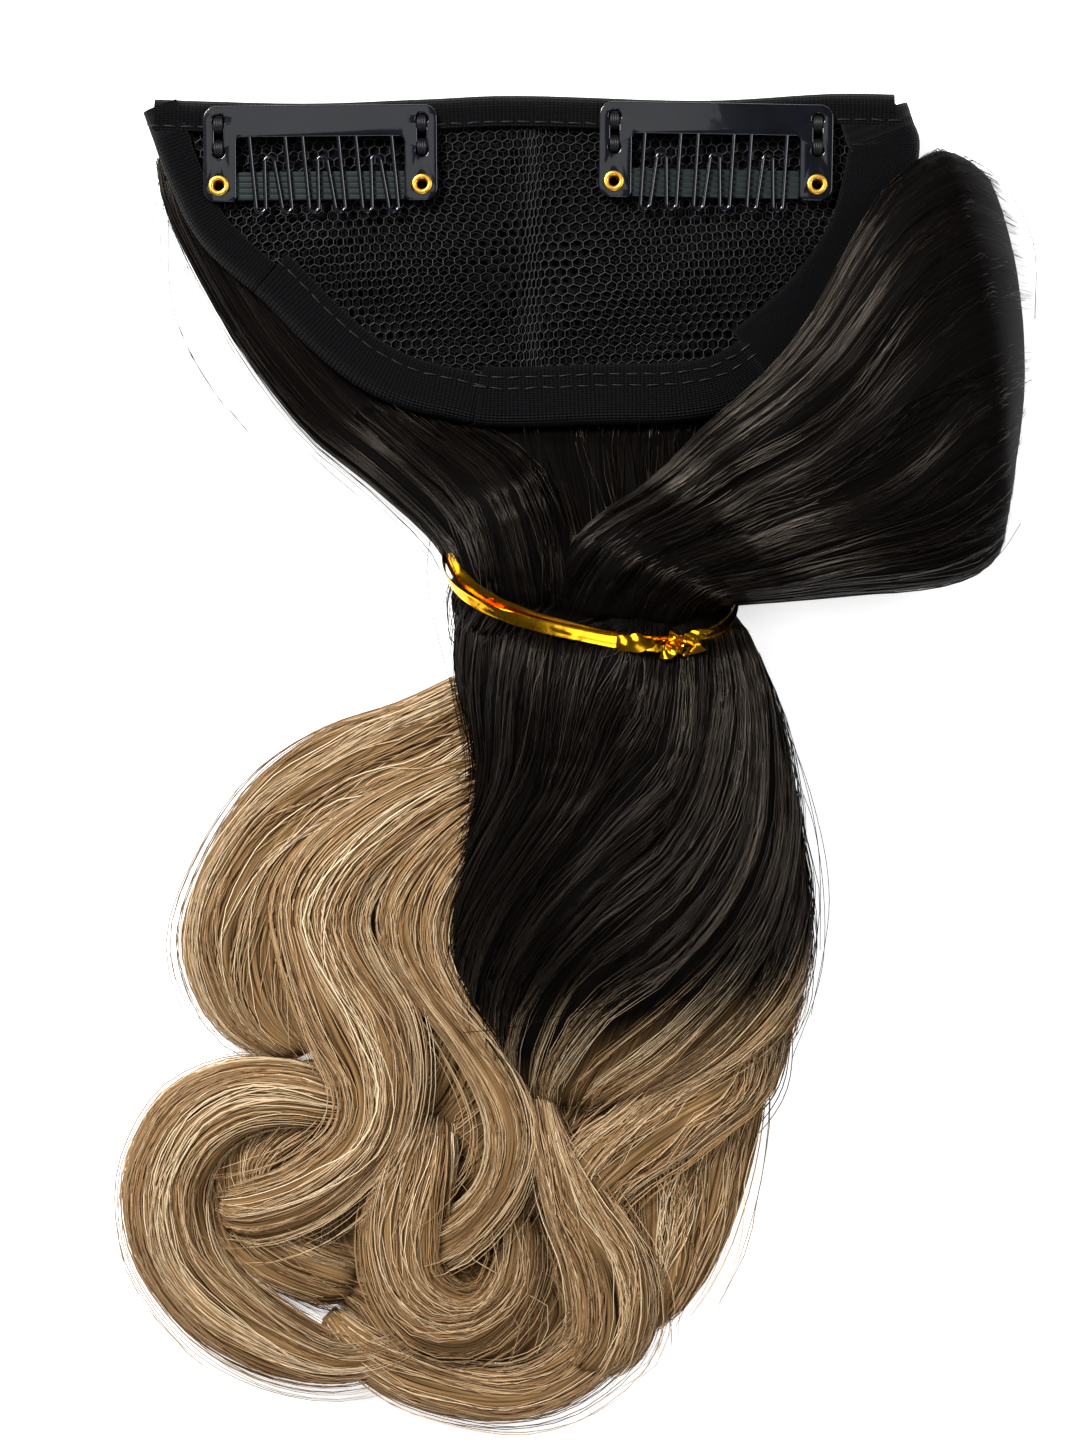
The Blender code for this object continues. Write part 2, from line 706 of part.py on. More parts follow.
def make_comb(clip):
    """The teeth and their root rail, with the origin on the rail's axis."""
    axis = clip.axis_point()
    inner = CLIP_WIDTH / 2 - LEG_WIDTH - METAL_FIT
    low = -SHEET / 2
    high = SHEET / 2

    def fill_rail(work):
        ribbon(work, [Vector((-inner, 0.0)), Vector((inner, 0.0))], RAIL_DEPTH, low, high)

    rail = new_object(clip.name + "_comb", fill_rail, "lacquered_steel")
    for number in range(GROUPS):
        middle = (number - (GROUPS - 1) / 2) * GROUP_PITCH
        line = [Vector((p.x, p.y - axis.y)) for p in tooth_line(middle, clip.lean)]
        wire = new_object(
            f"{clip.name}_wire_{number + 1}",
            lambda work, line=line: ribbon(work, line, WIRE, low * WIRE_FLAT, high * WIRE_FLAT),
            "lacquered_steel",
        )
        hide_guide(wire)
        wire.parent = rail
        joined = rail.modifiers.new("wire", "BOOLEAN")
        joined.operation = "UNION"
        joined.solver = "EXACT"
        joined.object = wire
    rail.location = axis
    rail.rotation_euler = (0.0, 0.0, clip.turn)
    turned = axis.copy()
    turned.rotate(rail.rotation_euler)
    rail.location = turned + clip.origin
    return rail


def make_bar(clip):
    """The flat bar behind the teeth, riveted to both legs."""
    (left, drop), (right, _) = eyelet_places()
    half = BAR_WIDTH / 2
    outline = arc((left, drop), half, 90, 270, 7) + arc((right, drop), half, -90, 90, 7)
    outlines = [outline]
    for place in eyelet_places():
        outlines.append(arc(place, EYELET_BARREL + METAL_FIT, 0, 337.5, 16))
    made = flat_part(clip.name + "_bar", outlines, BAR_LOW, BAR_SHEET, "lacquered_steel")
    clip.place(made)
    return made


def make_grip(clip):
    """The silicone sleeve on the bar, between the legs."""
    inner = CLIP_WIDTH / 2 - LEG_WIDTH - METAL_FIT
    room = BAR_WIDTH / 2 + METAL_FIT
    half = GRIP_WIDTH / 2

    def fill(work):
        outer = ((-half, GRIP_LOW), (half, GRIP_LOW), (half, GRIP_HIGH), (-half, GRIP_HIGH))
        hole = (
            (-room, GRIP_LOW + GRIP_WALL),
            (room, GRIP_LOW + GRIP_WALL),
            (room, GRIP_HIGH - GRIP_WALL),
            (-room, GRIP_HIGH - GRIP_WALL),
        )
        ends = []
        for x in (-inner, inner):
            ring = [work.verts.new((x, -EYELET_DROP + y, z)) for y, z in outer]
            bore = [work.verts.new((x, -EYELET_DROP + y, z)) for y, z in hole]
            ends.append((ring, bore))
        (ring_a, bore_a), (ring_b, bore_b) = ends
        for k in range(4):
            n = (k + 1) % 4
            work.faces.new((ring_a[k], ring_a[n], ring_b[n], ring_b[k]))
            work.faces.new((bore_a[k], bore_b[k], bore_b[n], bore_a[n]))
            work.faces.new((ring_a[k], bore_a[k], bore_a[n], ring_a[n]))
            work.faces.new((ring_b[k], ring_b[n], bore_b[n], bore_b[k]))

    made = new_object(clip.name + "_grip", fill, "silicone")
    clip.place(made)
    return made


def make_eyelet(clip, number, place):
    """A tubular rivet through a leg and the bar."""
    foot = BAR_LOW - METAL_FIT - EYELET_LIP
    head = CLIP_LOW + SHEET + METAL_FIT
    profile = (
        (EYELET_BORE, foot),
        (EYELET_FLANGE, foot),
        (EYELET_FLANGE, foot + EYELET_LIP),
        (EYELET_BARREL, foot + EYELET_LIP),
        (EYELET_BARREL, head),
        (EYELET_FLANGE, head),
        (EYELET_FLANGE - EYELET_LIP / 2, head + EYELET_LIP),
        (EYELET_BORE, head + EYELET_LIP),
    )
    sides = 16

    def fill(work):
        rings = []
        for k in range(sides):
            angle = 2 * math.pi * k / sides
            ring = []
            for radius, height in profile:
                x = place[0] + radius * math.cos(angle)
                y = place[1] + radius * math.sin(angle)
                ring.append((x, y, height))
            rings.append(ring)
        loft(work, rings, round_trip=True)

    made = new_object(f"{clip.name}_eyelet_{number}", fill, "brass", smooth=True)
    clip.place(made)
    return made


def make_clips():
    for row in CLIPS:
        clip = Clip(*row)
        make_frame(clip)
        make_comb(clip)
        make_bar(clip)
        make_grip(clip)
        for number, place in enumerate(eyelet_places()):
            make_eyelet(clip, number + 1, place)


# Tie


def neck_ways():
    """Directions in plan across the neck and down the fall."""
    across = Vector((math.cos(TIE_TURN), math.sin(TIE_TURN), 0.0))
    down = Vector((math.sin(TIE_TURN), -math.cos(TIE_TURN), 0.0))
    return across, down


def tie_point(angle, outset, shift):
    """A point round the neck, outset from its hair and shifted down the fall."""
    across, down = neck_ways()
    side, up = rounded(angle)
    room = GAP + outset
    middle = Vector((TIE_X, TIE_Y, NECK_HEIGHT / 2 + GAP + TIE_FOIL))
    place = middle + across * side * (NECK_WIDTH / 2 + room)
    place += Vector((0.0, 0.0, up * (NECK_HEIGHT / 2 + room)))
    return place + down * (up * TIE_LEAN + shift)


def tie_loop(name, grow, finish_name):
    """The foil band, or with a positive grow the room that it takes."""
    sides = 28
    half = TIE_BAND / 2 + grow

    def fill(work):
        rings = []
        for k in range(sides):
            angle = 2 * math.pi * k / sides
            rings.append(
                [
                    tie_point(angle, -grow, -half),
                    tie_point(angle, -grow, half),
                    tie_point(angle, TIE_FOIL + grow, half),
                    tie_point(angle, TIE_FOIL + grow, -half),
                ]
            )
        loft(work, rings, round_trip=True)

    return new_object(name, fill, finish_name)


def knot_body(name, grow, turns, finish_name):
    """The tie's twisted end on top of the band, or the plain room that it takes."""
    width = KNOT_WIDTH / 2 + grow
    thick = width if grow else TIE_FOIL * KNOT_THIN
    count = 9
    outset = TIE_FOIL + GAP + KNOT_WIDTH / 2
    angles = [KNOT_START + KNOT_SWEEP * k / (count - 1) for k in range(count)]
    line = [tie_point(math.radians(angle), outset, 0.0) for angle in angles]

    def fill(work):
        rings = []
        for k, point in enumerate(line):
            share = k / (count - 1)
            along = (line[min(k + 1, count - 1)] - line[max(k - 1, 0)]).normalized()
            aside = along.cross(Vector((0.0, 0.0, 1.0))).normalized()
            above = aside.cross(along)
            place = point + along * grow * (2 * share - 1)
            angle = math.pi * turns * share
            flat = aside * math.cos(angle) + above * math.sin(angle)
            up = above * math.cos(angle) - aside * math.sin(angle)
            rings.append(
                [
                    place + flat * width + up * thick,
                    place - flat * width + up * thick,
                    place - flat * width - up * thick,
                    place + flat * width - up * thick,
                ]
            )
        loft(work, rings)

    return new_object(name, fill, finish_name)


# Hair


def root_point(across, up):
    return Vector((CAP_X + across * NET_WIDTH, TIE_Y + up * TIE_DROP))


def fold_point(across, up):
    return Vector((TIE_X + across * FOLD_REACH, TIE_Y + up * FOLD_RISE))


def fall_point(across, down):
    return Vector((TIE_X + across * FALL_REACH, TIE_Y - down * FALL_LENGTH))


def lock(name, sections, finish_name, grow=0.0, end=LOCK_END, sides=10):
    """A closed lock with round ends, through sections of two points and a height."""
    rows = []
    for a, b, height in sections:
        middle = (a + b) / 2
        half = (b - a) / 2
        rise = (height + HAIR_SINK) / 2 + grow
        rows.append((middle, half + half.normalized() * grow, (height - HAIR_SINK) / 2, rise))
    for first, second, place in ((0, 1, 0), (-1, -2, None)):
        middle, half, centre, rise = rows[first]
        away = (middle - rows[second][0]).normalized() * (end + grow)
        for share, size in ROUND_END:
            added = (middle + away * share, half * size, centre, rise * size)
            rows.insert(place if place == 0 else len(rows), added)

    def fill(work):
        rings = []
        for middle, half, centre, rise in rows:
            ring = []
            for k in range(sides):
                side, up = rounded(2 * math.pi * (k + 0.5) / sides)
                place = middle + half * side
                ring.append((place.x, place.y, centre + rise * up))
            rings.append(ring)
        loft(work, rings)

    return new_object(name, fill, finish_name, smooth=True)


def strips(name, rows, to_point, height, count, finish_name, grow=0.0):
    """Locks side by side between two edges, highest in the middle."""
    found = []
    fine = through(rows, 3)
    for number in range(count):
        start = number % 3
        chosen = fine[start::3] if start == 0 else fine[start::3] + fine[-1:]
        low = (number - STRIP_LAP) / count if number else 0.0
        high = (number + 1 + STRIP_LAP) / count if number < count - 1 else 1.0
        middle = (number + 0.5) / count
        arch = 1.0 - STRIP_FALL * (2 * middle - 1) ** 2
        sections = []
        for row in chosen:
            ax, ay, bx, by, crown = row[:5]
            bulge = row[5] if len(row) > 5 else 0.0
            ends = []
            for share in (low, high):
                across = ax + (bx - ax) * share
                across += bulge * math.sin(math.pi * share) ** BULGE_BREADTH
                ends.append(to_point(across, ay + (by - ay) * share))
            sections.append((ends[0], ends[1], height * crown * arch))
        end = LOCK_END * (1 + END_STAGGER * (number % 3))
        found.append(lock(f"{name}_{number + 1}", sections, finish_name, grow, end))
    return found


def neck_lock(grow=0.0):
    """The gathered hair inside the tie."""
    across, down = neck_ways()
    middle = Vector((TIE_X, TIE_Y, 0.0))
    half = across * NECK_WIDTH / 2
    reach = TIE_LEAN + TIE_BAND
    lift = GAP + TIE_FOIL
    sections = []
    for shift, size in NECK_TAPER:
        place = middle + down * shift * reach
        side = half * size
        sections.append(((place - side).xy, (place + side).xy, NECK_HEIGHT * size + lift))
    return lock("neck", sections, "dark_hair", grow)


def root_locks():
    found = []
    for name, rows in ROOTS.items():
        sections = []
        for ax, ay, bx, by, bed, neck in rows:
            height = bed * HAIR_BED + neck * NECK_HEIGHT
            sections.append((root_point(ax, ay), root_point(bx, by), height))
        found.append(lock("root_" + name, sections, "dark_hair"))
    return found


def bundle_locks(grow=0.0):
    name = "bundle_room" if grow else "bundle"
    return strips(name, BUNDLE, fall_point, BUNDLE_HEIGHT, BUNDLE_STRIPS, "dark_hair", grow)


def curl_locks():
    found = []
    for name, rows in CURLS.items():
        sections = []
        for ax, ay, bx, by, height in rows:
            ends = (fall_point(ax, ay), fall_point(bx, by))
            sections.append((*ends, height * CURL_HEIGHT))
        found.append(lock("curl_" + name, sections, "fair_hair"))
    return found


def make_floor_room():
    """Everything below the surface that the hair lies on."""
    reach = 2 * (FALL_LENGTH + TIE_DROP)

    def fill(work):
        bmesh.ops.create_cube(work, size=1.0)
        bmesh.ops.scale(work, vec=(reach, reach, 20 * HAIR_SINK), verts=work.verts)
        bmesh.ops.translate(work, vec=(0.0, 0.0, -10 * HAIR_SINK), verts=work.verts)

    made = new_object("floor_room", fill, "net")
    hide_guide(made)
    return made


def fuse(name, locks, cutters):
    """One solid of the locks, less the room of what lies against it.

    The exact solver leaves open edges where so many locks lie almost in one
    another's faces, so these steps use the solver made for closed meshes.
    """
    body = locks[0]
    body.name = name
    steps = [("UNION", item) for item in locks[1:]]
    steps += [("DIFFERENCE", item) for item in cutters]
    for operation, item in steps:
        hide_guide(item)
        step = body.modifiers.new(item.name, "BOOLEAN")
        step.operation = operation
        step.solver = "MANIFOLD"
        step.object = item
    return body


def make_hair():
    floor = make_floor_room()
    cap = make_cap_room()
    band = tie_loop("band_room", GAP, "foil")
    knot = knot_body("knot_room", GAP, 0.0, "foil")
    fold = strips("fold", FOLD, fold_point, FOLD_HEIGHT, FOLD_STRIPS, "dark_hair")
    dark = [neck_lock()] + root_locks() + fold + bundle_locks()
    fuse("dark_hair", dark, [floor, cap, band, knot])
    fuse("fair_curls", curl_locks(), [floor, neck_lock(GAP)] + bundle_locks(GAP))


def main():
    clear_scene()
    make_net()
    for row in TAPES:
        make_tape(*row)
    make_clips()
    tie_loop("tie_band", 0.0, "foil")
    knot_body("tie_knot", 0.0, 2.0, "foil")
    make_hair()


main()
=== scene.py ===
"""The looks of a clip-in hair extension that lies with its net side up.

Hair is grown as fine strands on lock surfaces, the net, stitches and comb teeth
are grown by geometry nodes, and the tapes, plates and foil are built as meshes.
"""

import math
from collections import namedtuple

import bmesh
import bpy
import numpy as np
from mathutils import Matrix, Vector, noise


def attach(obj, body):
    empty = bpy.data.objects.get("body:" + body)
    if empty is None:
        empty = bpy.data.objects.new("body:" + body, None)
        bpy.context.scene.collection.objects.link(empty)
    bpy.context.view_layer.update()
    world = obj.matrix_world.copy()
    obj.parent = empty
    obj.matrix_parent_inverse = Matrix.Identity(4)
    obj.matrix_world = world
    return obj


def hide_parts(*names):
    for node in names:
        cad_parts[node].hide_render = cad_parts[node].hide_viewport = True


MM = 0.001

# Sizes of the frame's solids
NET_WIDTH = 104.0 * MM
NET_DEPTH = 42.8 * MM
LOBE_RISE = 1.5 * MM
PLEAT_WIDTH = 5.0 * MM
HAIR_BED = 4.4 * MM
CAP_X = -7.1 * MM
CAP_Y = 89.0 * MM
EDGE_INSET = 1.3 * MM
TAPE_LOW = 4.7 * MM
TAPE_HIGH = 8.3 * MM
TAPE_WALL = 1.0 * MM
NET_TOP = 7.0 * MM
CLIP_WIDTH = 32.0 * MM
CLIP_DEPTH = 13.1 * MM
CLIP_CORNER = 1.8 * MM
CLIP_LOW = 8.86 * MM
SHEET = 0.6 * MM
LEG_WIDTH = 4.5 * MM
WINDOW_TOP = 4.3 * MM
TOOTH_ROOT = 3.8 * MM
TOOTH_TIP = 14.9 * MM
TOOTH_CREST = 6.7 * MM
TOOTH_LOOP = 0.66 * MM
WIRE = 0.62 * MM
GROUP_PITCH = 7.28 * MM
GROUP_SPAN = 4.9 * MM
SLOT_INSET = 2.1 * MM
SLOT_TOP = 2.0 * MM
SLOT_PITCH = 4.3 * MM
SLOT_HOLE = 0.85 * MM
SLOT_NECK = 1.2 * MM
EYELET_DROP = 10.9 * MM
EYELET_BORE = 0.7 * MM
EYELET_BARREL = 0.95 * MM
EYELET_FLANGE = 1.42 * MM
EYELET_FOOT = 7.4 * MM
EYELET_HEAD = 9.58 * MM
TIE_X = 1.1 * MM
TIE_Y = 25.0 * MM
TIE_DROP = 64.0 * MM
TIE_TURN = math.radians(-12.0)
TIE_LEAN = 8.6 * MM
TIE_FOIL = 0.8 * MM
FOIL_CLEARANCE = 0.05 * MM  # over what it lies on
NECK_WIDTH = 39.0 * MM
NECK_HEIGHT = 16.0 * MM
FOLD_REACH = 61.7 * MM
FOLD_RISE = 59.4 * MM
FOLD_HEIGHT = 21.0 * MM
FALL_REACH = 63.9 * MM
FALL_LENGTH = 116.0 * MM
BUNDLE_HEIGHT = 18.0 * MM
CURL_HEIGHT = 14.0 * MM
HAIR_SINK = 0.8 * MM

# Real sizes of what the solids leave out
NET_CELL = 1.40 * MM  # across the flats of a mesh opening
NET_THREAD = 0.12 * MM  # radius
FIBRE = 0.06 * MM  # radius, drawn thicker than real hair so that it shows
FAIR_FIBRE = 0.08 * MM  # coarser, so that fewer strands fill the curls
SEWING_THREAD = 0.2 * MM  # radius
STITCH = 2.3 * MM

# The photo's frame: its middle and height on the surface, and the lens
VIEW_X = -5.6 * MM
VIEW_Y = 4.2 * MM
VIEW_HEIGHT = 198.1 * MM
VIEW_LEVEL = 9.0 * MM
LENS = 100.0

# Net outline, as shares of its width from the middle and of its depth from the
# straight edge. Columns: across, down.
STRAIGHT_EDGE = (
    (-0.500, 0.006),
    (-0.305, 0.019),
    (-0.147, 0.006),
    (-0.016, -0.006),
    (0.221, 0.010),
    (0.392, -0.012),
    (0.480, -0.010),
)
ROUND_EDGE = (
    (-0.493, 0.067),
    (-0.468, 0.236),
    (-0.426, 0.428),
    (-0.345, 0.607),
    (-0.295, 0.732),
    (-0.233, 0.859),
    (-0.171, 0.936),
    (-0.108, 0.974),
    (-0.046, 1.000),
    (0.089, 0.990),
    (0.195, 0.984),
    (0.274, 0.939),
    (0.353, 0.802),
    (0.418, 0.642),
    (0.468, 0.450),
    (0.491, 0.259),
    (0.500, 0.115),
    (0.488, 0.045),
)

# Tapes. Columns: name, edge, start share, end share, reach, stitch rows as
# shares of the reach.
TAPES = (
    ("top_binding", "straight", 0.002, 0.998, 2.6 * MM, (0.98,)),
    ("side_binding", "round", 0.012, 0.181, 3.2 * MM, ()),
    ("left_hem_binding", "round", 0.1815, 0.4228, 5.2 * MM, (0.80,)),
    ("right_hem_binding", "round", 0.4234, 0.7058, 6.4 * MM, (0.62, 0.86)),
    ("corner_cloth", "round", 0.7064, 0.992, 8.0 * MM, ()),
)

# Combs. Columns: name, middle from the cap's, drop, turn, lean, body of the teeth.
CLIPS = (
    ("clip_left", -29.02 * MM, 0.2 * MM, 0.5, 0.9 * MM, "left_teeth"),
    ("clip_right", 25.27 * MM, -0.1 * MM, -1.0, -0.5 * MM, "right_teeth"),
)

# Root hair. Columns: left across, left up, right across, right up, height as a
# share of the bed, height as a share of the neck.
ROOTS = {
    "bed": (
        (-0.480, 0.965, 0.488, 0.965, 1.05, 0.00),
        (-0.452, 0.816, 0.491, 0.816, 1.20, 0.00),
        (-0.404, 0.677, 0.458, 0.677, 1.20, 0.00),
        (-0.305, 0.517, 0.392, 0.517, 1.20, 0.00),
        (-0.213, 0.368, 0.300, 0.368, 1.20, 0.00),
        (-0.134, 0.218, 0.247, 0.200, 0.60, 0.38),
        (-0.095, 0.068, 0.255, 0.000, 0.00, 0.88),
    ),
    "left_outer": (
        (-0.503, 0.902, -0.440, 0.912, 0.85, 0.00),
        (-0.483, 0.784, -0.405, 0.795, 1.00, 0.00),
        (-0.439, 0.641, -0.350, 0.675, 1.05, 0.00),
        (-0.380, 0.474, -0.279, 0.540, 1.10, 0.00),
        (-0.301, 0.308, -0.200, 0.400, 1.10, 0.00),
        (-0.211, 0.192, -0.121, 0.282, 0.70, 0.30),
        (-0.120, 0.050, -0.030, 0.110, 0.00, 0.98),
        (-0.085, -0.080, -0.030, -0.040, 0.00, 0.96),
    ),
    "left_inner": (
        (-0.265, 0.365, -0.140, 0.420, 1.05, 0.00),
        (-0.190, 0.250, -0.070, 0.330, 0.85, 0.25),
        (-0.100, 0.110, 0.015, 0.190, 0.00, 1.02),
        (-0.060, -0.110, 0.062, -0.125, 0.00, 0.98),
    ),
    "middle": (
        (-0.020, 0.340, 0.055, 0.340, 1.05, 0.00),
        (-0.010, 0.200, 0.060, 0.200, 0.50, 0.42),
        (0.005, 0.060, 0.080, 0.060, 0.00, 0.98),
        (0.015, -0.135, 0.105, -0.150, 0.00, 0.98),
    ),
    "right": (
        (0.080, 0.340, 0.250, 0.340, 1.05, 0.00),
        (0.090, 0.200, 0.235, 0.190, 0.50, 0.42),
        (0.095, 0.060, 0.220, 0.030, 0.00, 0.88),
        (0.090, -0.080, 0.200, -0.100, 0.00, 0.90),
    ),
}

# The folded hair. Columns: inner across, inner up, outer across, outer up,
# crown, bulge of the far end.
FOLD = (
    (-0.150, -0.118, 0.262, -0.148, 0.74, 0.00),
    (-0.128, -0.050, 0.275, -0.105, 0.82, 0.00),
    (-0.085, 0.045, 0.310, -0.078, 0.90, 0.00),
    (0.000, 0.125, 0.345, -0.072, 0.93, 0.00),
    (0.135, 0.220, 0.461, -0.060, 0.84, 0.00),
    (0.251, 0.339, 0.572, -0.046, 0.93, 0.00),
    (0.373, 0.447, 0.672, -0.035, 1.00, 0.00),
    (0.472, 0.569, 0.761, -0.021, 1.00, 0.01),
    (0.561, 0.742, 0.827, -0.002, 1.00, 0.02),
    (0.645, 0.880, 0.871, 0.023, 0.97, 0.03),
    (0.761, 0.972, 0.900, 0.062, 0.86, 0.05),
    (0.871, 0.975, 0.911, 0.120, 0.62, 0.075),
)

# The bundle below the tie. Columns: left across, left down, right across, right
# down, crown.
BUNDLE = (
    (-0.285, 0.015, 0.306, 0.033, 0.80),
    (-0.283, 0.127, 0.377, 0.127, 0.98),
    (-0.240, 0.240, 0.424, 0.222, 1.00),
    (-0.268, 0.328, 0.456, 0.328, 0.98),
    (-0.296, 0.410, 0.462, 0.422, 0.94),
    (-0.289, 0.493, 0.445, 0.505, 0.86),
    (-0.236, 0.570, 0.370, 0.570, 0.74),
    (-0.140, 0.635, 0.160, 0.634, 0.55),
)

# The fair curls. Columns: left across, left down, right across, right down,
# height as a share of the curls' height.
CURLS = {
    "backing": (
        (-0.460, 0.480, 0.120, 0.500, 0.26),
        (-0.500, 0.560, 0.200, 0.560, 0.30),
        (-0.560, 0.620, 0.220, 0.620, 0.32),
        (-0.690, 0.690, 0.160, 0.690, 0.34),
        (-0.792, 0.741, 0.090, 0.741, 0.34),
        (-0.764, 0.805, 0.049, 0.811, 0.34),
        (-0.540, 0.870, 0.049, 0.882, 0.34),
        (-0.454, 0.935, -0.069, 0.947, 0.32),
    ),
    "outer_sweep": (
        (-0.260, 0.113, -0.229, 0.222, 0.50),
        (-0.410, 0.157, -0.347, 0.269, 0.52),
        (-0.580, 0.196, -0.497, 0.328, 0.52),
        (-0.730, 0.257, -0.604, 0.375, 0.52),
        (-0.830, 0.340, -0.625, 0.410, 0.52),
        (-0.880, 0.422, -0.625, 0.446, 0.52),
        (-0.860, 0.487, -0.615, 0.487, 0.50),
        (-0.790, 0.546, -0.593, 0.522, 0.48),
        (-0.660, 0.585, -0.561, 0.558, 0.46),
    ),
    "long_wave": (
        (-0.244, 0.204, -0.227, 0.281, 0.60),
        (-0.443, 0.251, -0.358, 0.328, 0.75),
        (-0.615, 0.316, -0.443, 0.375, 0.85),
        (-0.685, 0.387, -0.475, 0.416, 0.90),
        (-0.657, 0.463, -0.443, 0.463, 0.92),
        (-0.604, 0.540, -0.379, 0.522, 0.92),
        (-0.540, 0.605, -0.368, 0.605, 0.92),
        (-0.550, 0.658, -0.420, 0.690, 0.88),
        (-0.647, 0.699, -0.561, 0.764, 0.80),
        (-0.754, 0.723, -0.722, 0.791, 0.70),
        (-0.814, 0.735, -0.829, 0.765, 0.50),
    ),
    "short_wave": (
        (-0.231, 0.251, -0.223, 0.328, 0.70),
        (-0.368, 0.310, -0.261, 0.369, 0.84),
        (-0.450, 0.375, -0.283, 0.416, 0.90),
        (-0.454, 0.434, -0.283, 0.458, 0.90),
        (-0.394, 0.493, -0.240, 0.511, 0.86),
        (-0.308, 0.552, -0.197, 0.558, 0.84),
        (-0.240, 0.617, -0.143, 0.611, 0.88),
        (-0.218, 0.670, -0.122, 0.670, 0.90),
        (-0.244, 0.723, -0.154, 0.735, 0.84),
        (-0.315, 0.758, -0.250, 0.800, 0.70),
        (-0.411, 0.782, -0.368, 0.835, 0.50),
    ),
    "nested_curl": (
        (-0.529, 0.560, -0.480, 0.648, 0.50),
        (-0.689, 0.600, -0.610, 0.672, 0.50),
        (-0.815, 0.650, -0.680, 0.700, 0.50),
        (-0.855, 0.718, -0.700, 0.735, 0.48),
        (-0.812, 0.789, -0.660, 0.771, 0.46),
        (-0.700, 0.842, -0.580, 0.801, 0.44),
        (-0.540, 0.880, -0.480, 0.819, 0.42),
    ),
    "round_curl": (
        (-0.500, 0.605, -0.500, 0.670, 0.60),
        (-0.647, 0.580, -0.625, 0.652, 0.66),
        (-0.786, 0.580, -0.722, 0.658, 0.72),
        (-0.914, 0.617, -0.792, 0.682, 0.74),
        (-0.983, 0.682, -0.829, 0.717, 0.74),
        (-1.000, 0.746, -0.833, 0.758, 0.72),
        (-0.968, 0.823, -0.801, 0.805, 0.68),
        (-0.861, 0.900, -0.728, 0.849, 0.64),
        (-0.722, 0.945, -0.625, 0.888, 0.60),
        (-0.572, 0.961, -0.529, 0.912, 0.56),
        (-0.443, 0.947, -0.433, 0.906, 0.50),
        (-0.360, 0.918, -0.360, 0.886, 0.44),
    ),
    "middle_curl": (
        (-0.420, 0.634, -0.261, 0.652, 0.75),
        (-0.465, 0.699, -0.304, 0.717, 0.80),
        (-0.495, 0.776, -0.325, 0.782, 0.82),
        (-0.471, 0.853, -0.325, 0.823, 0.80),
        (-0.390, 0.912, -0.278, 0.847, 0.76),
        (-0.272, 0.927, -0.229, 0.841, 0.72),
        (-0.165, 0.894, -0.201, 0.809, 0.66),
        (-0.107, 0.829, -0.197, 0.776, 0.60),
        (-0.111, 0.758, -0.186, 0.746, 0.50),
    ),
    "bottom_ring": (
        (-0.600, 0.900, -0.545, 0.868, 0.40),
        (-0.529, 0.943, -0.486, 0.900, 0.46),
        (-0.422, 0.979, -0.390, 0.927, 0.52),
        (-0.293, 0.996, -0.283, 0.943, 0.56),
        (-0.165, 1.000, -0.180, 0.946, 0.58),
        (-0.047, 0.982, -0.090, 0.927, 0.58),
        (0.049, 0.941, -0.015, 0.888, 0.56),
        (0.113, 0.882, 0.028, 0.841, 0.52),
    ),
    "centre_wave": (
        (-0.170, 0.600, -0.080, 0.600, 0.72),
        (-0.137, 0.676, -0.058, 0.664, 0.88),
        (-0.105, 0.752, 0.028, 0.729, 0.95),
        (-0.043, 0.835, 0.124, 0.814, 0.95),
        (-0.026, 0.906, 0.139, 0.888, 0.86),
        (-0.079, 0.947, 0.077, 0.959, 0.60),
    ),
    "right_wave": (
        (0.340, 0.530, 0.440, 0.520, 0.72),
        (0.231, 0.593, 0.392, 0.611, 0.82),
        (0.103, 0.617, 0.274, 0.670, 0.86),
        (-0.004, 0.658, 0.146, 0.715, 0.82),
        (-0.069, 0.705, 0.060, 0.746, 0.76),
        (-0.077, 0.746, 0.017, 0.770, 0.60),
    ),
    "right_back": (
        (0.103, 0.600, 0.395, 0.540, 0.62),
        (0.060, 0.705, 0.362, 0.658, 0.52),
        (0.071, 0.776, 0.313, 0.752, 0.46),
        (0.092, 0.847, 0.242, 0.841, 0.40),
        (0.095, 0.894, 0.150, 0.906, 0.36),
    ),
}

# The gathered hair in the tie. Columns: place along the fall as a share of its
# reach, width and height as shares of the neck's.
NECK = (
    (0.22, 0.93, 0.20),
    (0.38, 0.93, 0.60),
    (0.58, 0.91, 0.93),
    (0.80, 0.87, 0.97),
    (1.05, 0.81, 0.78),
    (1.30, 0.74, 0.40),
)
NECK_REACH = 11.3 * MM

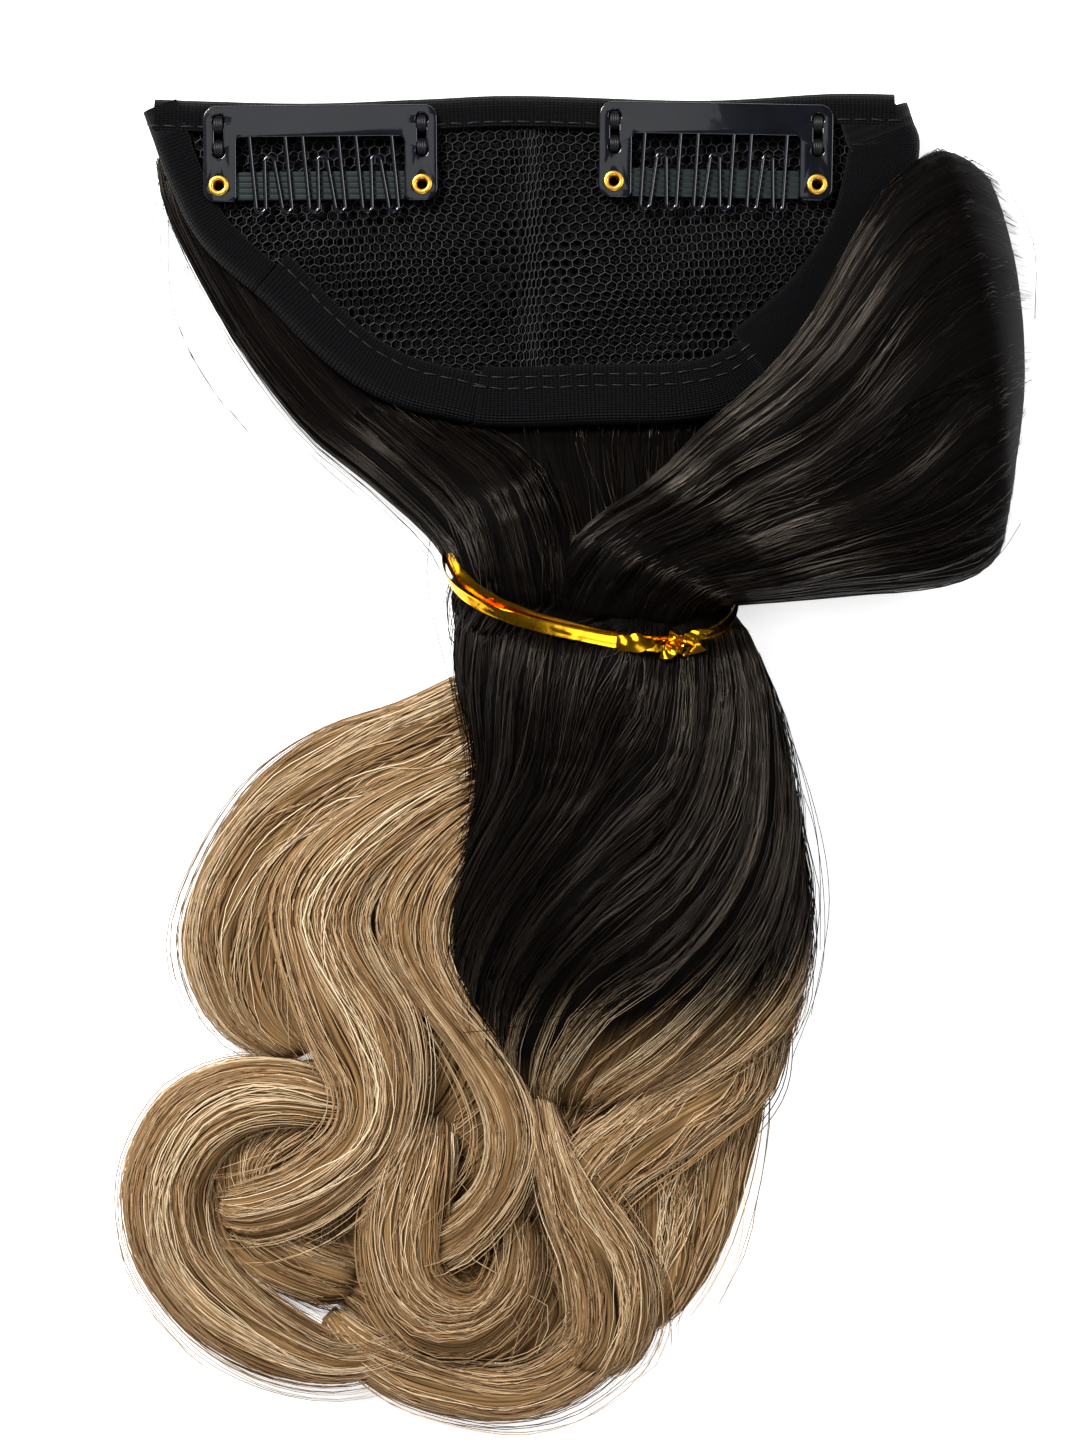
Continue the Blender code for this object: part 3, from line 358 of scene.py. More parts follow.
# How each lock is grown. Columns: strands to a millimetre round its crown, the
# share of its crown that the hair winds round it, where along it the dark turns
# fair, from and to, how much earlier it turns on its right, and its piece.
Growth = namedtuple("Growth", "density wind fair_from fair_to slant piece")
GROWTH = {
    "root_bed": (2.0, 0.001, 2.0, 3.0, 0.0, "root"),
    "root_left_outer": (13.0, 0.001, 2.0, 3.0, 0.0, "root"),
    "root_left_inner": (13.0, 0.001, 2.0, 3.0, 0.0, "root"),
    "root_middle": (12.0, 0.001, 2.0, 3.0, 0.0, "root"),
    "root_right": (11.0, 0.001, 2.0, 3.0, 0.0, "root"),
    "neck": (11.0, 0.20, 2.0, 3.0, 0.0, "root"),
    "fold": (21.0, -0.05, 2.0, 3.0, 0.0, "fold"),
    "bundle": (20.0, 0.55, 0.93, 1.10, 0.24, "bundle"),
    "curl_outer_sweep": (17.0, 0.15, -0.30, 0.14, 0.0, "wave"),
    "curl_long_wave": (17.0, -0.10, -0.30, 0.12, 0.0, "wave"),
    "curl_short_wave": (17.0, -0.10, -0.25, 0.12, 0.0, "wave"),
    "curl_backing": (4.0, 0.001, -0.4, -0.1, 0.0, "curl"),
    "curl_nested_curl": (13.0, -0.20, -0.4, -0.1, 0.0, "wave"),
    "curl_round_curl": (17.0, 0.15, -0.4, -0.1, 0.0, "curl"),
    "curl_middle_curl": (15.0, -0.20, -0.4, -0.1, 0.0, "curl"),
    "curl_bottom_ring": (15.0, 0.10, -0.4, -0.1, 0.0, "curl"),
    "curl_centre_wave": (17.0, 0.20, -0.25, 0.18, 0.0, "curl"),
    "curl_right_wave": (17.0, -0.20, 0.00, 0.42, 0.0, "wave"),
    "curl_right_back": (12.0, 0.001, -0.10, 0.25, 0.0, "curl"),
}
WIND_EASE = 1.4
# Ridges on a lock, in millimetres. Columns: width, length, height.
RIDGES = ((4.6, 30.0, 1.3), (1.7, 24.0, 0.6), (0.65, 20.0, 0.16))
CROWN_FACET = 0.55 * MM
CROWN_FACETS = (26, 96)  # fewest and most
UNDER_FACETS = 12
RIDGED_WIDTH = 5.0 * MM  # a narrower lock has lower ridges
END_HEIGHT = 0.12  # as a share of the height next to it

# How a lock's ends close. Columns: length of the start, how much it narrows,
# length of the far end, how much that narrows.
TAPERS = {
    "fold": (1.5 * MM, 0.12, 5.0 * MM, 0.10),
    "bundle": (3.5 * MM, 0.12, 3.0 * MM, 0.10),
    "curl": (9.0 * MM, 0.55, 3.0 * MM, 0.45),
    "other": (3.5 * MM, 0.12, 3.0 * MM, 0.45),
}

# How strands grow: how far they stand up and stray, how much they wander, and how
# much of a lock they leave free at its start and at its tip.
STRANDS = {
    "dark": {
        "Thickness": FIBRE,
        "Lift": 0.6 * MM,
        "Stray": 3.5 * MM,
        "Wander": 0.07,
        "Begin": 0.02,
        "Feather": 0.05,
    },
    "fair": {
        "Thickness": FAIR_FIBRE,
        "Lift": 0.75 * MM,
        "Stray": 4.5 * MM,
        "Wander": 0.22,
        "Begin": 0.05,
        "Feather": 0.16,
    },
}
STRAND_STEP = {"dark": 4.2 * MM, "fair": 3.0 * MM}
CLUMP = 0.9 * MM


# Hairs that lie by themselves, as points in the photo's frame: across and up, in
# millimetres on the surface, and height.
LOOSE_HAIRS = (
    ((-16.3, -37.5, 15.5), (-10.0, -36.6, 18.3), (-2.0, -34.7, 19.2), (7.7, -32.3, 19.0)),
    ((24.0, 14.0, 9.0), (28.5, 2.0, 10.0), (32.0, -12.0, 9.0), (32.6, -27.0, 5.0)),
    ((25.5, 9.0, 7.0), (31.0, -5.0, 8.0), (33.8, -20.0, 6.0), (31.5, -36.0, 3.0)),
    ((26.0, 3.0, 6.0), (31.8, -10.0, 5.0), (33.2, -28.0, 3.5), (29.0, -42.0, 2.0)),
    ((-58.6, 80.0, 3.0), (-59.6, 70.0, 3.0), (-57.0, 60.0, 3.0), (-49.0, 47.0, 3.0)),
    ((-58.0, 78.0, 2.0), (-58.4, 67.0, 2.0), (-54.0, 55.0, 2.5), (-44.0, 41.5, 4.0)),
    ((-57.5, 74.0, 2.0), (-56.8, 62.0, 2.0), (-51.0, 50.0, 2.5), (-38.0, 36.5, 5.0)),
    ((-55.0, 68.0, 2.0), (-52.0, 57.5, 2.0), (-45.0, 46.0, 3.0), (-30.0, 32.5, 7.0)),
    ((52.0, 82.0, 9.0), (57.0, 78.0, 11.0), (61.5, 70.0, 9.0), (62.2, 60.0, 5.0)),
    ((40.0, 22.0, 8.0), (48.0, 24.0, 8.0), (56.0, 26.5, 6.0), (60.5, 32.0, 3.0)),
    ((-20.5, 33.0, 8.0), (-21.5, 24.0, 7.0), (-19.5, 14.0, 5.0), (-17.0, 6.0, 8.0)),
)


# Curves and outlines


def spline(t, a, b, c, d):
    """A Catmull-Rom curve's value between b and c."""
    return 0.5 * (
        2 * b + (c - a) * t + (2 * a - 5 * b + 4 * c - d) * t**2 + (3 * b - a - 3 * c + d) * t**3
    )


def through(rows, steps):
    """Rows on a smooth curve through the given rows, steps of them to a span."""
    found = []
    last = len(rows) - 1
    for i in range(last):
        four = (rows[max(i - 1, 0)], rows[i], rows[i + 1], rows[min(i + 2, last)])
        for k in range(steps):
            found.append(tuple(spline(k / steps, *column) for column in zip(*four)))
    found.append(tuple(rows[last]))
    return found


def evenly(points, start, end, count):
    """Points at even distances along a curve, between two shares of its length."""
    lengths = [0.0]
    for a, b in zip(points, points[1:]):
        lengths.append(lengths[-1] + (b - a).length)
    found = []
    for k in range(count):
        want = (start + (end - start) * k / (count - 1)) * lengths[-1]
        i = 0
        while i < len(points) - 2 and lengths[i + 1] < want:
            i += 1
        share = (want - lengths[i]) / (lengths[i + 1] - lengths[i])
        found.append(points[i].lerp(points[i + 1], share))
    return found


def rounded(angle, squareness=2.5):
    """A point on a rounded section that reaches from -1 to 1 both ways."""
    across = math.cos(angle)
    up = math.sin(angle)
    power = 2 / squareness
    return math.copysign(abs(across) ** power, across), math.copysign(abs(up) ** power, up)


def arc(centre, radius, start, end, count):
    """Points on an arc in plan, with its angles in degrees."""
    found = []
    for k in range(count):
        angle = math.radians(start + (end - start) * k / (count - 1))
        found.append((centre[0] + radius * math.cos(angle), centre[1] + radius * math.sin(angle)))
    return found


def cap_point(across, down):
    """A point of the cap in plan, from shares of its width and depth."""
    return Vector((CAP_X + across * NET_WIDTH, CAP_Y - down * NET_DEPTH))


def edge_curve(edge):
    """The cap's straight or round edge as a smooth line."""
    rows = STRAIGHT_EDGE if edge == "straight" else ROUND_EDGE
    return [cap_point(*row) for row in through(rows, 6)]


def outward(points, i):
    """The direction in plan that leaves the cap at a point of its edge."""
    along = points[min(i + 1, len(points) - 1)] - points[max(i - 1, 0)]
    across = Vector((along.y, -along.x)).normalized()
    return across if across.dot(points[i] - cap_point(0.0, 0.4)) > 0 else -across


def outline_distance(places):
    """Distance in plan from the cap's outline to each place, negative inside."""
    ring = [tuple(p) for p in evenly(edge_curve("straight"), 0.0, 1.0, 40)]
    ring += [tuple(p) for p in evenly(edge_curve("round"), 0.0, 1.0, 60)[::-1]]
    start = np.array(ring)
    run = np.roll(start, -1, axis=0) - start
    off = places[:, None, :] - start[None]
    share = np.clip((off * run).sum(2) / (run * run).sum(1), 0.0, 1.0)
    near = np.sqrt(((off - run * share[..., None]) ** 2).sum(2)).min(1)
    above = (start[:, 1] > places[:, 1:2]) != (np.roll(start, -1, axis=0)[:, 1] > places[:, 1:2])
    rise = np.where(run[:, 1] == 0.0, 1e-12, run[:, 1])
    cross = start[:, 0] + (places[:, 1:2] - start[:, 1]) / rise * run[:, 0]
    inside = ((above & (places[:, :1] < cross)).sum(1) % 2) == 1
    return np.where(inside, -near, near)


# Meshes


def add(tree, kind, inputs=(), **settings):
    """Adds a node. An input is a value, a socket or a node, for its first output."""
    node = tree.nodes.new(kind)
    for key, value in settings.items():
        setattr(node, key, value)
    for key, value in dict(inputs).items():
        if isinstance(value, bpy.types.Node):
            value = next(s for s in value.outputs if s.enabled)
        if isinstance(value, bpy.types.NodeSocket):
            tree.links.new(value, node.inputs[key])
        else:
            node.inputs[key].default_value = value
    return node


def maths(tree, operation, *values, clamp=False):
    """A maths node on up to three numbers."""
    inputs = dict(enumerate(values))
    return add(tree, "ShaderNodeMath", inputs, operation=operation, use_clamp=clamp)


def vector_maths(tree, operation, *values):
    """A maths node on two vectors."""
    return add(tree, "ShaderNodeVectorMath", dict(enumerate(values)), operation=operation)


def vector_scaled(tree, vector, scale):
    """A vector times a number."""
    return add(tree, "ShaderNodeVectorMath", {0: vector, "Scale": scale}, operation="SCALE")


def vector_of(tree, x=0.0, y=0.0, z=0.0):
    """A vector of three numbers."""
    return add(tree, "ShaderNodeCombineXYZ", {0: x, 1: y, 2: z})


def cloud(tree, place, scale, detail):
    """A noise texture, whose first output is its value."""
    return add(tree, "ShaderNodeTexNoise", {"Vector": place, "Scale": scale, "Detail": detail})


def new_piece(name, mesh, material=None):
    """An object in place for a mesh."""
    if material:
        mesh.materials.clear()
        mesh.materials.append(material)
    made = bpy.data.objects.new(name, mesh)
    bpy.context.scene.collection.objects.link(made)
    return made


def mesh_of(name, points, faces, maps=None, values=None):
    """A smooth mesh with UV maps by vertex and float attributes by vertex."""
    mesh = bpy.data.meshes.new(name)
    mesh.from_pydata([tuple(p) for p in points], [], faces)
    corners = np.zeros(len(mesh.loops), dtype=np.int32)
    mesh.loops.foreach_get("vertex_index", corners)
    for label, places in (maps or {}).items():
        layer = mesh.uv_layers.new(name=label)
        layer.data.foreach_set("uv", np.asarray(places, dtype=np.float32)[corners].ravel())
    for label, numbers in (values or {}).items():
        layer = mesh.attributes.new(label, "FLOAT", "POINT")
        layer.data.foreach_set("value", np.asarray(numbers, dtype=np.float32))
    mesh.shade_smooth()
    return mesh


def sheet_faces(rows, columns):
    """Faces of an open grid of points."""
    faces = []
    for i in range(rows - 1):
        for k in range(columns - 1):
            a = i * columns + k
            faces.append((a, a + 1, a + columns + 1, a + columns))
    return faces


def tube_faces(rows, columns, closed=False):
    """Faces of a flat tube of point rings, a ring itself or with its ends closed."""
    faces = []
    for i in range(rows if closed else rows - 1):
        for k in range(columns):
            n = (k + 1) % columns
            a = i * columns
            b = (i + 1) % rows * columns
            faces.append((a + k, a + n, b + n, b + k))
    if not closed:
        for first in (0, (rows - 1) * columns):
            for k in range(columns // 2 - 1):
                far = columns - 1 - k
                faces.append((first + k, first + k + 1, first + far - 1, first + far))
    return faces


def welded(mesh, distance=1e-7):
    """The mesh with its doubles merged and its faces turned outwards."""
    work = bmesh.new()
    work.from_mesh(mesh)
    bmesh.ops.remove_doubles(work, verts=work.verts, dist=distance)
    bmesh.ops.recalc_face_normals(work, faces=work.faces)
    work.to_mesh(mesh)
    work.free()
    return mesh


def joined(name, meshes):
    """One piece of several meshes, which keeps their attributes and finishes."""
    parts = [new_piece(name, mesh) for mesh in meshes]
    with bpy.context.temp_override(
        active_object=parts[0], object=parts[0], selected_editable_objects=parts
    ):
        if len(parts) > 1:
            bpy.ops.object.join()
    parts[0].data.name = name
    return parts[0]


def settled(made):
    """The evaluated shape of an object as a plain mesh in place."""
    bpy.context.view_layer.update()
    shown = made.evaluated_get(bpy.context.evaluated_depsgraph_get())
    mesh = bpy.data.meshes.new_from_object(shown)
    mesh.transform(made.matrix_world)
    bpy.data.objects.remove(made)
    return mesh


def new_tree(name, sizes):
    """An empty tree of geometry nodes with named inputs."""
    tree = bpy.data.node_groups.new(name, "GeometryNodeTree")
    face = tree.interface
    face.new_socket("Geometry", in_out="INPUT", socket_type="NodeSocketGeometry")
    for label, kind in sizes.items():
        face.new_socket(label, in_out="INPUT", socket_type="NodeSocket" + kind)
    face.new_socket("Geometry", in_out="OUTPUT", socket_type="NodeSocketGeometry")
    return tree, add(tree, "NodeGroupInput").outputs


def grown(guide, tree, values):
    """The plain mesh that a tree grows on a guide mesh, which is used up."""
    made = new_piece(tree.name, guide)
    step = made.modifiers.new(tree.name, "NODES")
    step.node_group = tree
    for item in tree.interface.items_tree:
        if item.in_out == "INPUT" and item.name in values:
            step[item.identifier] = values[item.name]
    return settled(made)


def finish_tree(tree, geometry, material):
    """The tree with its shapes made real, smooth and finished."""
    real = add(tree, "GeometryNodeRealizeInstances", {0: geometry})
    smooth = add(tree, "GeometryNodeSetShadeSmooth", {0: real})
    done = add(tree, "GeometryNodeSetMaterial", {0: smooth, "Material": material})
    add(tree, "NodeGroupOutput", {0: done})
    return tree


def polyline(name, lines):
    """A mesh of open lines."""
    points = []
    edges = []
    for line in lines:
        first = len(points)
        points.extend(tuple(p) for p in line)
        edges.extend((first + k, first + k + 1) for k in range(len(line) - 1))
    mesh = bpy.data.meshes.new(name)
    mesh.from_pydata(points, edges, [])
    return mesh


# Finishes


def hex_colour(text):
    """An sRGB hex value as linear red, green, blue and alpha."""
    parts = [int(text[k : k + 2], 16) / 255 for k in (1, 3, 5)]
    linear = [p / 12.92 if p <= 0.04045 else ((p + 0.055) / 1.055) ** 2.4 for p in parts]
    return (*linear, 1.0)


def new_finish(name, shader_values):
    """A material, its tree and its shader."""
    material = bpy.data.materials.new(name)
    material.use_nodes = True
    tree = material.node_tree
    shader = tree.nodes["Principled BSDF"]
    for key, value in shader_values.items():
        shader.inputs[key].default_value = value
    return material, tree, shader


def blend(tree, share, low, high):
    """A colour between two, each a hex value or a socket."""
    ends = [hex_colour(end) if isinstance(end, str) else end for end in (low, high)]
    inputs = {0: share, 6: ends[0], 7: ends[1]}
    return add(tree, "ShaderNodeMix", inputs, data_type="RGBA").outputs[2]


def spread(tree, value, low, high):
    """A value from 0 to 1 as one between two others."""
    return add(tree, "ShaderNodeMapRange", {"Value": value, "To Min": low, "To Max": high})


def bumps(tree, strength, distance, height):
    """Bumps for a shader's normal, from a height."""
    inputs = {"Strength": strength, "Distance": distance, "Height": height}
    return add(tree, "ShaderNodeBump", inputs)


def wired(material, shader, sources):
    """The material, once sockets or nodes feed its shader's inputs."""
    for key, source in sources.items():
        if isinstance(source, bpy.types.Node):
            source = source.outputs[0]
        material.node_tree.links.new(source, shader.inputs[key])
    return material


def hair_fibre(name, dark, fair, roughness, shine):
    """Synthetic hair fibre: extruded strands with a soft semi-gloss.

    The tone_and_shade attribute varies the colour from strand to strand at random
    and carries painted shade, darker and less glossy for strands that lie low or at
    a lock's rim; the fair attribute turns the dark dye into the fair one along a lock.
    """
    material, tree, shader = new_finish(
        name, {"Roughness": roughness, "IOR": 1.5, "Specular Tint": hex_colour("#e4d2c0")}
    )
    tone_and_shade = add(tree, "ShaderNodeAttribute", attribute_name="tone_and_shade").outputs["Fac"]
    turn = add(tree, "ShaderNodeAttribute", attribute_name="fair").outputs["Fac"]
    ramps = []
    for colours in (dark, fair):
        ramp = add(tree, "ShaderNodeValToRGB", {"Fac": tone_and_shade})
        stops = ramp.color_ramp.elements
        while len(stops) < len(colours):
            stops.new(0.5)
        for k, (stop, colour) in enumerate(zip(stops, colours)):
            stop.position = k / (len(colours) - 1)
            stop.color = hex_colour(colour)
        ramps.append(ramp)
    mixed = blend(tree, turn, ramps[0], ramps[1])
    # Gloss follows tone_and_shade, so strands darkened by painted shade also shine less.
    gloss = maths(tree, "POWER", tone_and_shade, 1.6)
    gloss = maths(tree, "MULTIPLY_ADD", gloss, shine, 0.03)
    return wired(material, shader, {"Base Color": mixed, "Specular IOR Level": gloss})


def hair_mass(name, dark, fair):
    """The packed fibres under the strands: matt, streaked along the lock."""
    material, tree, shader = new_finish(name, {"Roughness": 0.6, "Specular IOR Level": 0.02})
    place = add(tree, "ShaderNodeUVMap", uv_map="Streak")
    stretched = add(tree, "ShaderNodeMapping", {0: place, "Scale": (2.8, 0.05, 1.0)})
    streak = cloud(tree, stretched, 1.0, 4.0)
    inputs = {"Value": streak, "From Min": 0.34, "From Max": 0.66}
    contrast = add(tree, "ShaderNodeMapRange", inputs)
    turn = add(tree, "ShaderNodeAttribute", attribute_name="fair").outputs["Fac"]
    # The mass's colours are darker than the strands' own: painted shade in the gaps between strands.
    shades = []
    for low, high in (dark, fair):
        shades.append(blend(tree, contrast, low, high))
    mixed = blend(tree, turn, shades[0], shades[1])
    bump = bumps(tree, 0.8, 0.2 * MM, streak)
    return wired(material, shader, {"Base Color": mixed, "Normal": bump})


def woven_tape(name, rib, sheen):
    """Grosgrain binding tape: woven polyester whose weft stands in cross ribs."""
    material, tree, shader = new_finish(
        name,
        {
            "Roughness": 0.6,
            "Specular IOR Level": 0.07,
            "Sheen Weight": sheen,
            "Sheen Roughness": 0.4,
        },
    )
    place = add(tree, "ShaderNodeUVMap", uv_map="Weave")
    across = add(tree, "ShaderNodeSeparateXYZ", {0: place})
    ribs = maths(tree, "MULTIPLY", across.outputs[0], 2 * math.pi / rib)
    ribs = maths(tree, "SINE", ribs)
    warp = maths(tree, "MULTIPLY", across.outputs[1], 2 * math.pi / 0.32)
    warp = maths(tree, "SINE", warp)
    weave = maths(tree, "ADD", ribs, warp)
    speck = cloud(tree, place, 2.2, 3.0)
    height = maths(tree, "MULTIPLY_ADD", speck, 1.5, weave)
    # Painted shade: the colour follows the weave's height, darker in its hollows and lighter on the rib
    # crests; the flecks add real variation to the yarn.
    shade = add(
        tree,
        "ShaderNodeMapRange",
        {"Value": height, "From Min": -1.0, "From Max": 2.6, "To Min": 0.0, "To Max": 1.0},
    )
    colour = blend(tree, shade, "#020203", "#0c0c0e")
    bump = bumps(tree, 0.7, 0.1 * MM, height)
    return wired(material, shader, {"Base Color": colour, "Normal": bump})


def under_net():
    """The second net layer and wefts under the mesh: matt black with faint cells."""
    material, tree, shader = new_finish(
        "doubled_nylon_net", {"Roughness": 0.8, "Specular IOR Level": 0.0}
    )
    place = add(tree, "ShaderNodeTexCoord").outputs["Object"]
    cells = add(
        tree,
        "ShaderNodeTexVoronoi",
        {"Vector": place, "Scale": 1 / NET_CELL, "Randomness": 0.35},
        voronoi_dimensions="2D",
        feature="DISTANCE_TO_EDGE",
    )
    ramp = add(tree, "ShaderNodeValToRGB", {"Fac": cells})
    ramp.color_ramp.elements[0].color = hex_colour("#0d0d0f")
    ramp.color_ramp.elements[1].color = hex_colour("#010101")
    ramp.color_ramp.elements[1].position = 0.3
    return wired(material, shader, {"Base Color": ramp})


def nylon_thread(name, colour, roughness):
    """Spun thread: fine twist that breaks up its soft shine."""
    material, tree, shader = new_finish(
        name, {"Roughness": roughness, "Specular IOR Level": 0.3, "IOR": 1.53}
    )
    place = add(tree, "ShaderNodeTexCoord").outputs["Object"]
    twist = cloud(tree, place, 6000.0, 2.0)
    shade = blend(tree, twist, "#020202", colour)
    bump = bumps(tree, 0.5, 0.03 * MM, twist)
    return wired(material, shader, {"Base Color": shade, "Normal": bump})


def lacquered_steel():
    """Spring steel under dipped black lacquer: deep gloss with a faint ripple."""
    material, tree, shader = new_finish(
        "lacquered_spring_steel",
        {"Specular IOR Level": 0.25, "Coat Weight": 0.6, "Coat Roughness": 0.05},
    )
    place = add(tree, "ShaderNodeTexCoord").outputs["Object"]
    ripple = cloud(tree, place, 260.0, 2.0)
    wear = cloud(tree, place, 2400.0, 5.0)
    colour = blend(tree, ripple, "#040508", "#0c0f17")
    rough = spread(tree, wear, 0.1, 0.24)
    bump = bumps(tree, 0.25, 0.15 * MM, ripple)
    return wired(material, shader, {"Base Color": colour, "Roughness": rough, "Coat Normal": bump})


def silicone_grip():
    """Moulded silicone sleeve: smooth, waxy, ribbed along its length."""
    material, tree, shader = new_finish(
        "moulded_silicone", {"Roughness": 0.42, "IOR": 1.43, "Specular IOR Level": 0.3}
    )
    place = add(tree, "ShaderNodeTexCoord").outputs["Object"]
    parts = add(tree, "ShaderNodeSeparateXYZ", {0: place})
    ribs = maths(tree, "MULTIPLY", parts.outputs[1], 2 * math.pi / (0.8 * MM))
    ribs = maths(tree, "SINE", ribs)
    haze = cloud(tree, place, 500.0, 3.0)
    colour = blend(tree, haze, "#0a1010", "#1a2423")
    bump = bumps(tree, 0.5, 0.15 * MM, ribs)
    return wired(material, shader, {"Base Color": colour, "Normal": bump})


def brass():
    """Rolled brass: bright yellow metal with dull spots."""
    material, tree, shader = new_finish("rolled_brass", {"Metallic": 1.0})
    place = add(tree, "ShaderNodeTexCoord").outputs["Object"]
    dull = cloud(tree, place, 1800.0, 4.0)
    colour = blend(tree, dull, "#c8892a", "#f0c055")
    rough = spread(tree, dull, 0.3, 0.46)
    return wired(material, shader, {"Base Color": colour, "Roughness": rough})


def gold_foil():
    """Metallised film twist tie: mirror-bright gold broken by small creases."""
    material, tree, shader = new_finish("metallised_gold_film", {"Metallic": 1.0})
    place = add(tree, "ShaderNodeTexCoord").outputs["Object"]
    crease = add(
        tree,
        "ShaderNodeTexVoronoi",
        {"Vector": place, "Scale": 380.0, "Randomness": 1.0},
        feature="DISTANCE_TO_EDGE",
    )
    tarnish = cloud(tree, place, 420.0, 3.0)
    colour = blend(tree, tarnish, "#d98e00", "#ffc62a")
    rough = spread(tree, tarnish, 0.08, 0.26)
    bump = bumps(tree, 0.14, 0.25 * MM, crease)
    return wired(material, shader, {"Base Color": colour, "Roughness": rough, "Normal": bump})


# Hair


def strand_tree():
    """Strands that run along a lock's surface, found by its UV map.

    The map's first number goes round the lock, 0 to 0.5 over its crown, and its
    second one runs along it.
    """
    tree, given = new_tree(
        "hair_strands",
        {
            "Strands": "Int",
            "Steps": "Int",
            "Seed": "Int",
            "Thickness": "Float",
            "Lift": "Float",
            "Stray": "Float",
            "Wander": "Float",
            "Clumps": "Int",
            "Pull": "Float",
            "Begin": "Float",
            "Feather": "Float",
            "Overrun": "Float",
            "Wind": "Float",
            "Slant": "Float",
            "Fair from": "Float",
            "Fair to": "Float",
            "Finish": "Material",
        },
    )
    count = maths(tree, "MULTIPLY", given["Strands"], given["Steps"])
    points = add(tree, "GeometryNodePoints", {"Count": count})
    index = add(tree, "GeometryNodeInputIndex")
    share = maths(tree, "DIVIDE", index, given["Steps"])
    strand = maths(tree, "FLOOR", share)
    within = maths(tree, "FRACT", share)
    last = maths(tree, "SUBTRACT", given["Steps"], 1.0)
    ratio = maths(tree, "DIVIDE", given["Steps"], last)
    place = maths(tree, "MULTIPLY", within, ratio, clamp=True)
    draws = []
    for shift in (0.0, 101.0, 202.0):
        seed = maths(tree, "ADD", given["Seed"], shift)
        draw = add(
            tree, "FunctionNodeRandomValue", {"ID": strand, "Seed": seed}, data_type="FLOAT_VECTOR"
        )
        draws.append(add(tree, "ShaderNodeSeparateXYZ", {0: draw}).outputs)
    (across, early, late), (height, tint, phase), (loose, thick, _) = draws

    begin = maths(tree, "MULTIPLY", early, given["Begin"])
    short = maths(tree, "POWER", late, 2.0)
    short = maths(tree, "MULTIPLY", short, given["Feather"])
    end = maths(tree, "SUBTRACT", 1.0, short)
    size = maths(tree, "ABSOLUTE", given["Wind"])
    size = maths(tree, "ADD", size, 1.0)
    back = maths(tree, "MAXIMUM", given["Wind"], 0.0)
    across = maths(tree, "MULTIPLY", across, size)
    across = maths(tree, "SUBTRACT", across, back)
    rims = []
    for rim in (-0.06, 1.06):
        far = maths(tree, "SUBTRACT", rim, across)
        rims.append(maths(tree, "DIVIDE", far, given["Wind"]))
    shown = []
    for kind, limit in (("MINIMUM", begin), ("MAXIMUM", end)):
        reach = maths(tree, kind, rims[0], rims[1])
        reach = add(tree, "ShaderNodeClamp", {"Value": reach})
        reach = maths(tree, "POWER", reach, 1 / WIND_EASE)
        other = "MAXIMUM" if kind == "MINIMUM" else "MINIMUM"
        shown.append(maths(tree, other, reach, limit))
    along = spread(tree, place, shown[0], shown[1]).outputs[0]

    scaled = maths(tree, "MULTIPLY", across, given["Clumps"])
    clump = maths(tree, "FLOOR", scaled)
    centre = maths(tree, "ADD", clump, 0.5)
    centre = maths(tree, "DIVIDE", centre, given["Clumps"])
    grip = maths(tree, "MULTIPLY", place, given["Pull"])
    pulled = add(tree, "ShaderNodeMix", {0: grip, 2: across, 3: centre})

    strand_way = maths(tree, "MULTIPLY", phase, 9.0)
    clump_way = maths(tree, "MULTIPLY_ADD", clump, 3.7, given["Seed"])
    sway = []
    for row, scale in ((clump_way, 2.2), (strand_way, 3.5)):
        spot = vector_of(tree, along, row, given["Seed"])
        wave = cloud(tree, spot, scale, 1.0)
        wave = maths(tree, "SUBTRACT", wave, 0.5)
        sway.append(maths(tree, "MULTIPLY", wave, given["Wander"]))
    swayed = maths(tree, "ADD", sway[0], sway[1])
    swayed = maths(tree, "ADD", swayed, pulled)
    wound = maths(tree, "POWER", along, WIND_EASE)
    wound = maths(tree, "MULTIPLY", wound, given["Wind"])
    swayed = maths(tree, "ADD", swayed, wound, clamp=True)
    round_way = maths(tree, "MULTIPLY_ADD", swayed, 0.56, -0.03)
    round_way = maths(tree, "FRACT", round_way)
    safe = spread(tree, along, 0.002, 0.998)
    spot = vector_of(tree, round_way, safe)
    early = maths(tree, "SUBTRACT", safe, 0.03)
    early = maths(tree, "MAXIMUM", early, 0.002)
    behind = vector_of(tree, round_way, early)
    chart = add(tree, "GeometryNodeInputNamedAttribute", {"Name": "UVMap"}, data_type="FLOAT_VECTOR")
    samples = []
    for kind, uv in (("Position", spot), ("Normal", spot), ("Position", behind)):
        value = add(tree, "GeometryNodeInput" + kind)
        samples.append(
            add(
                tree,
                "GeometryNodeSampleUVSurface",
                {"Mesh": given[0], "Value": value, "UV Map": chart, "Sample UV": uv},
                data_type="FLOAT_VECTOR",
            )
        )
    ahead = vector_maths(tree, "SUBTRACT", samples[0], samples[2])
    over = maths(tree, "POWER", place, 7.0)
    over = maths(tree, "MULTIPLY", over, given["Overrun"])
    over = maths(tree, "MULTIPLY", over, phase)
    ahead = vector_scaled(tree, ahead, over)

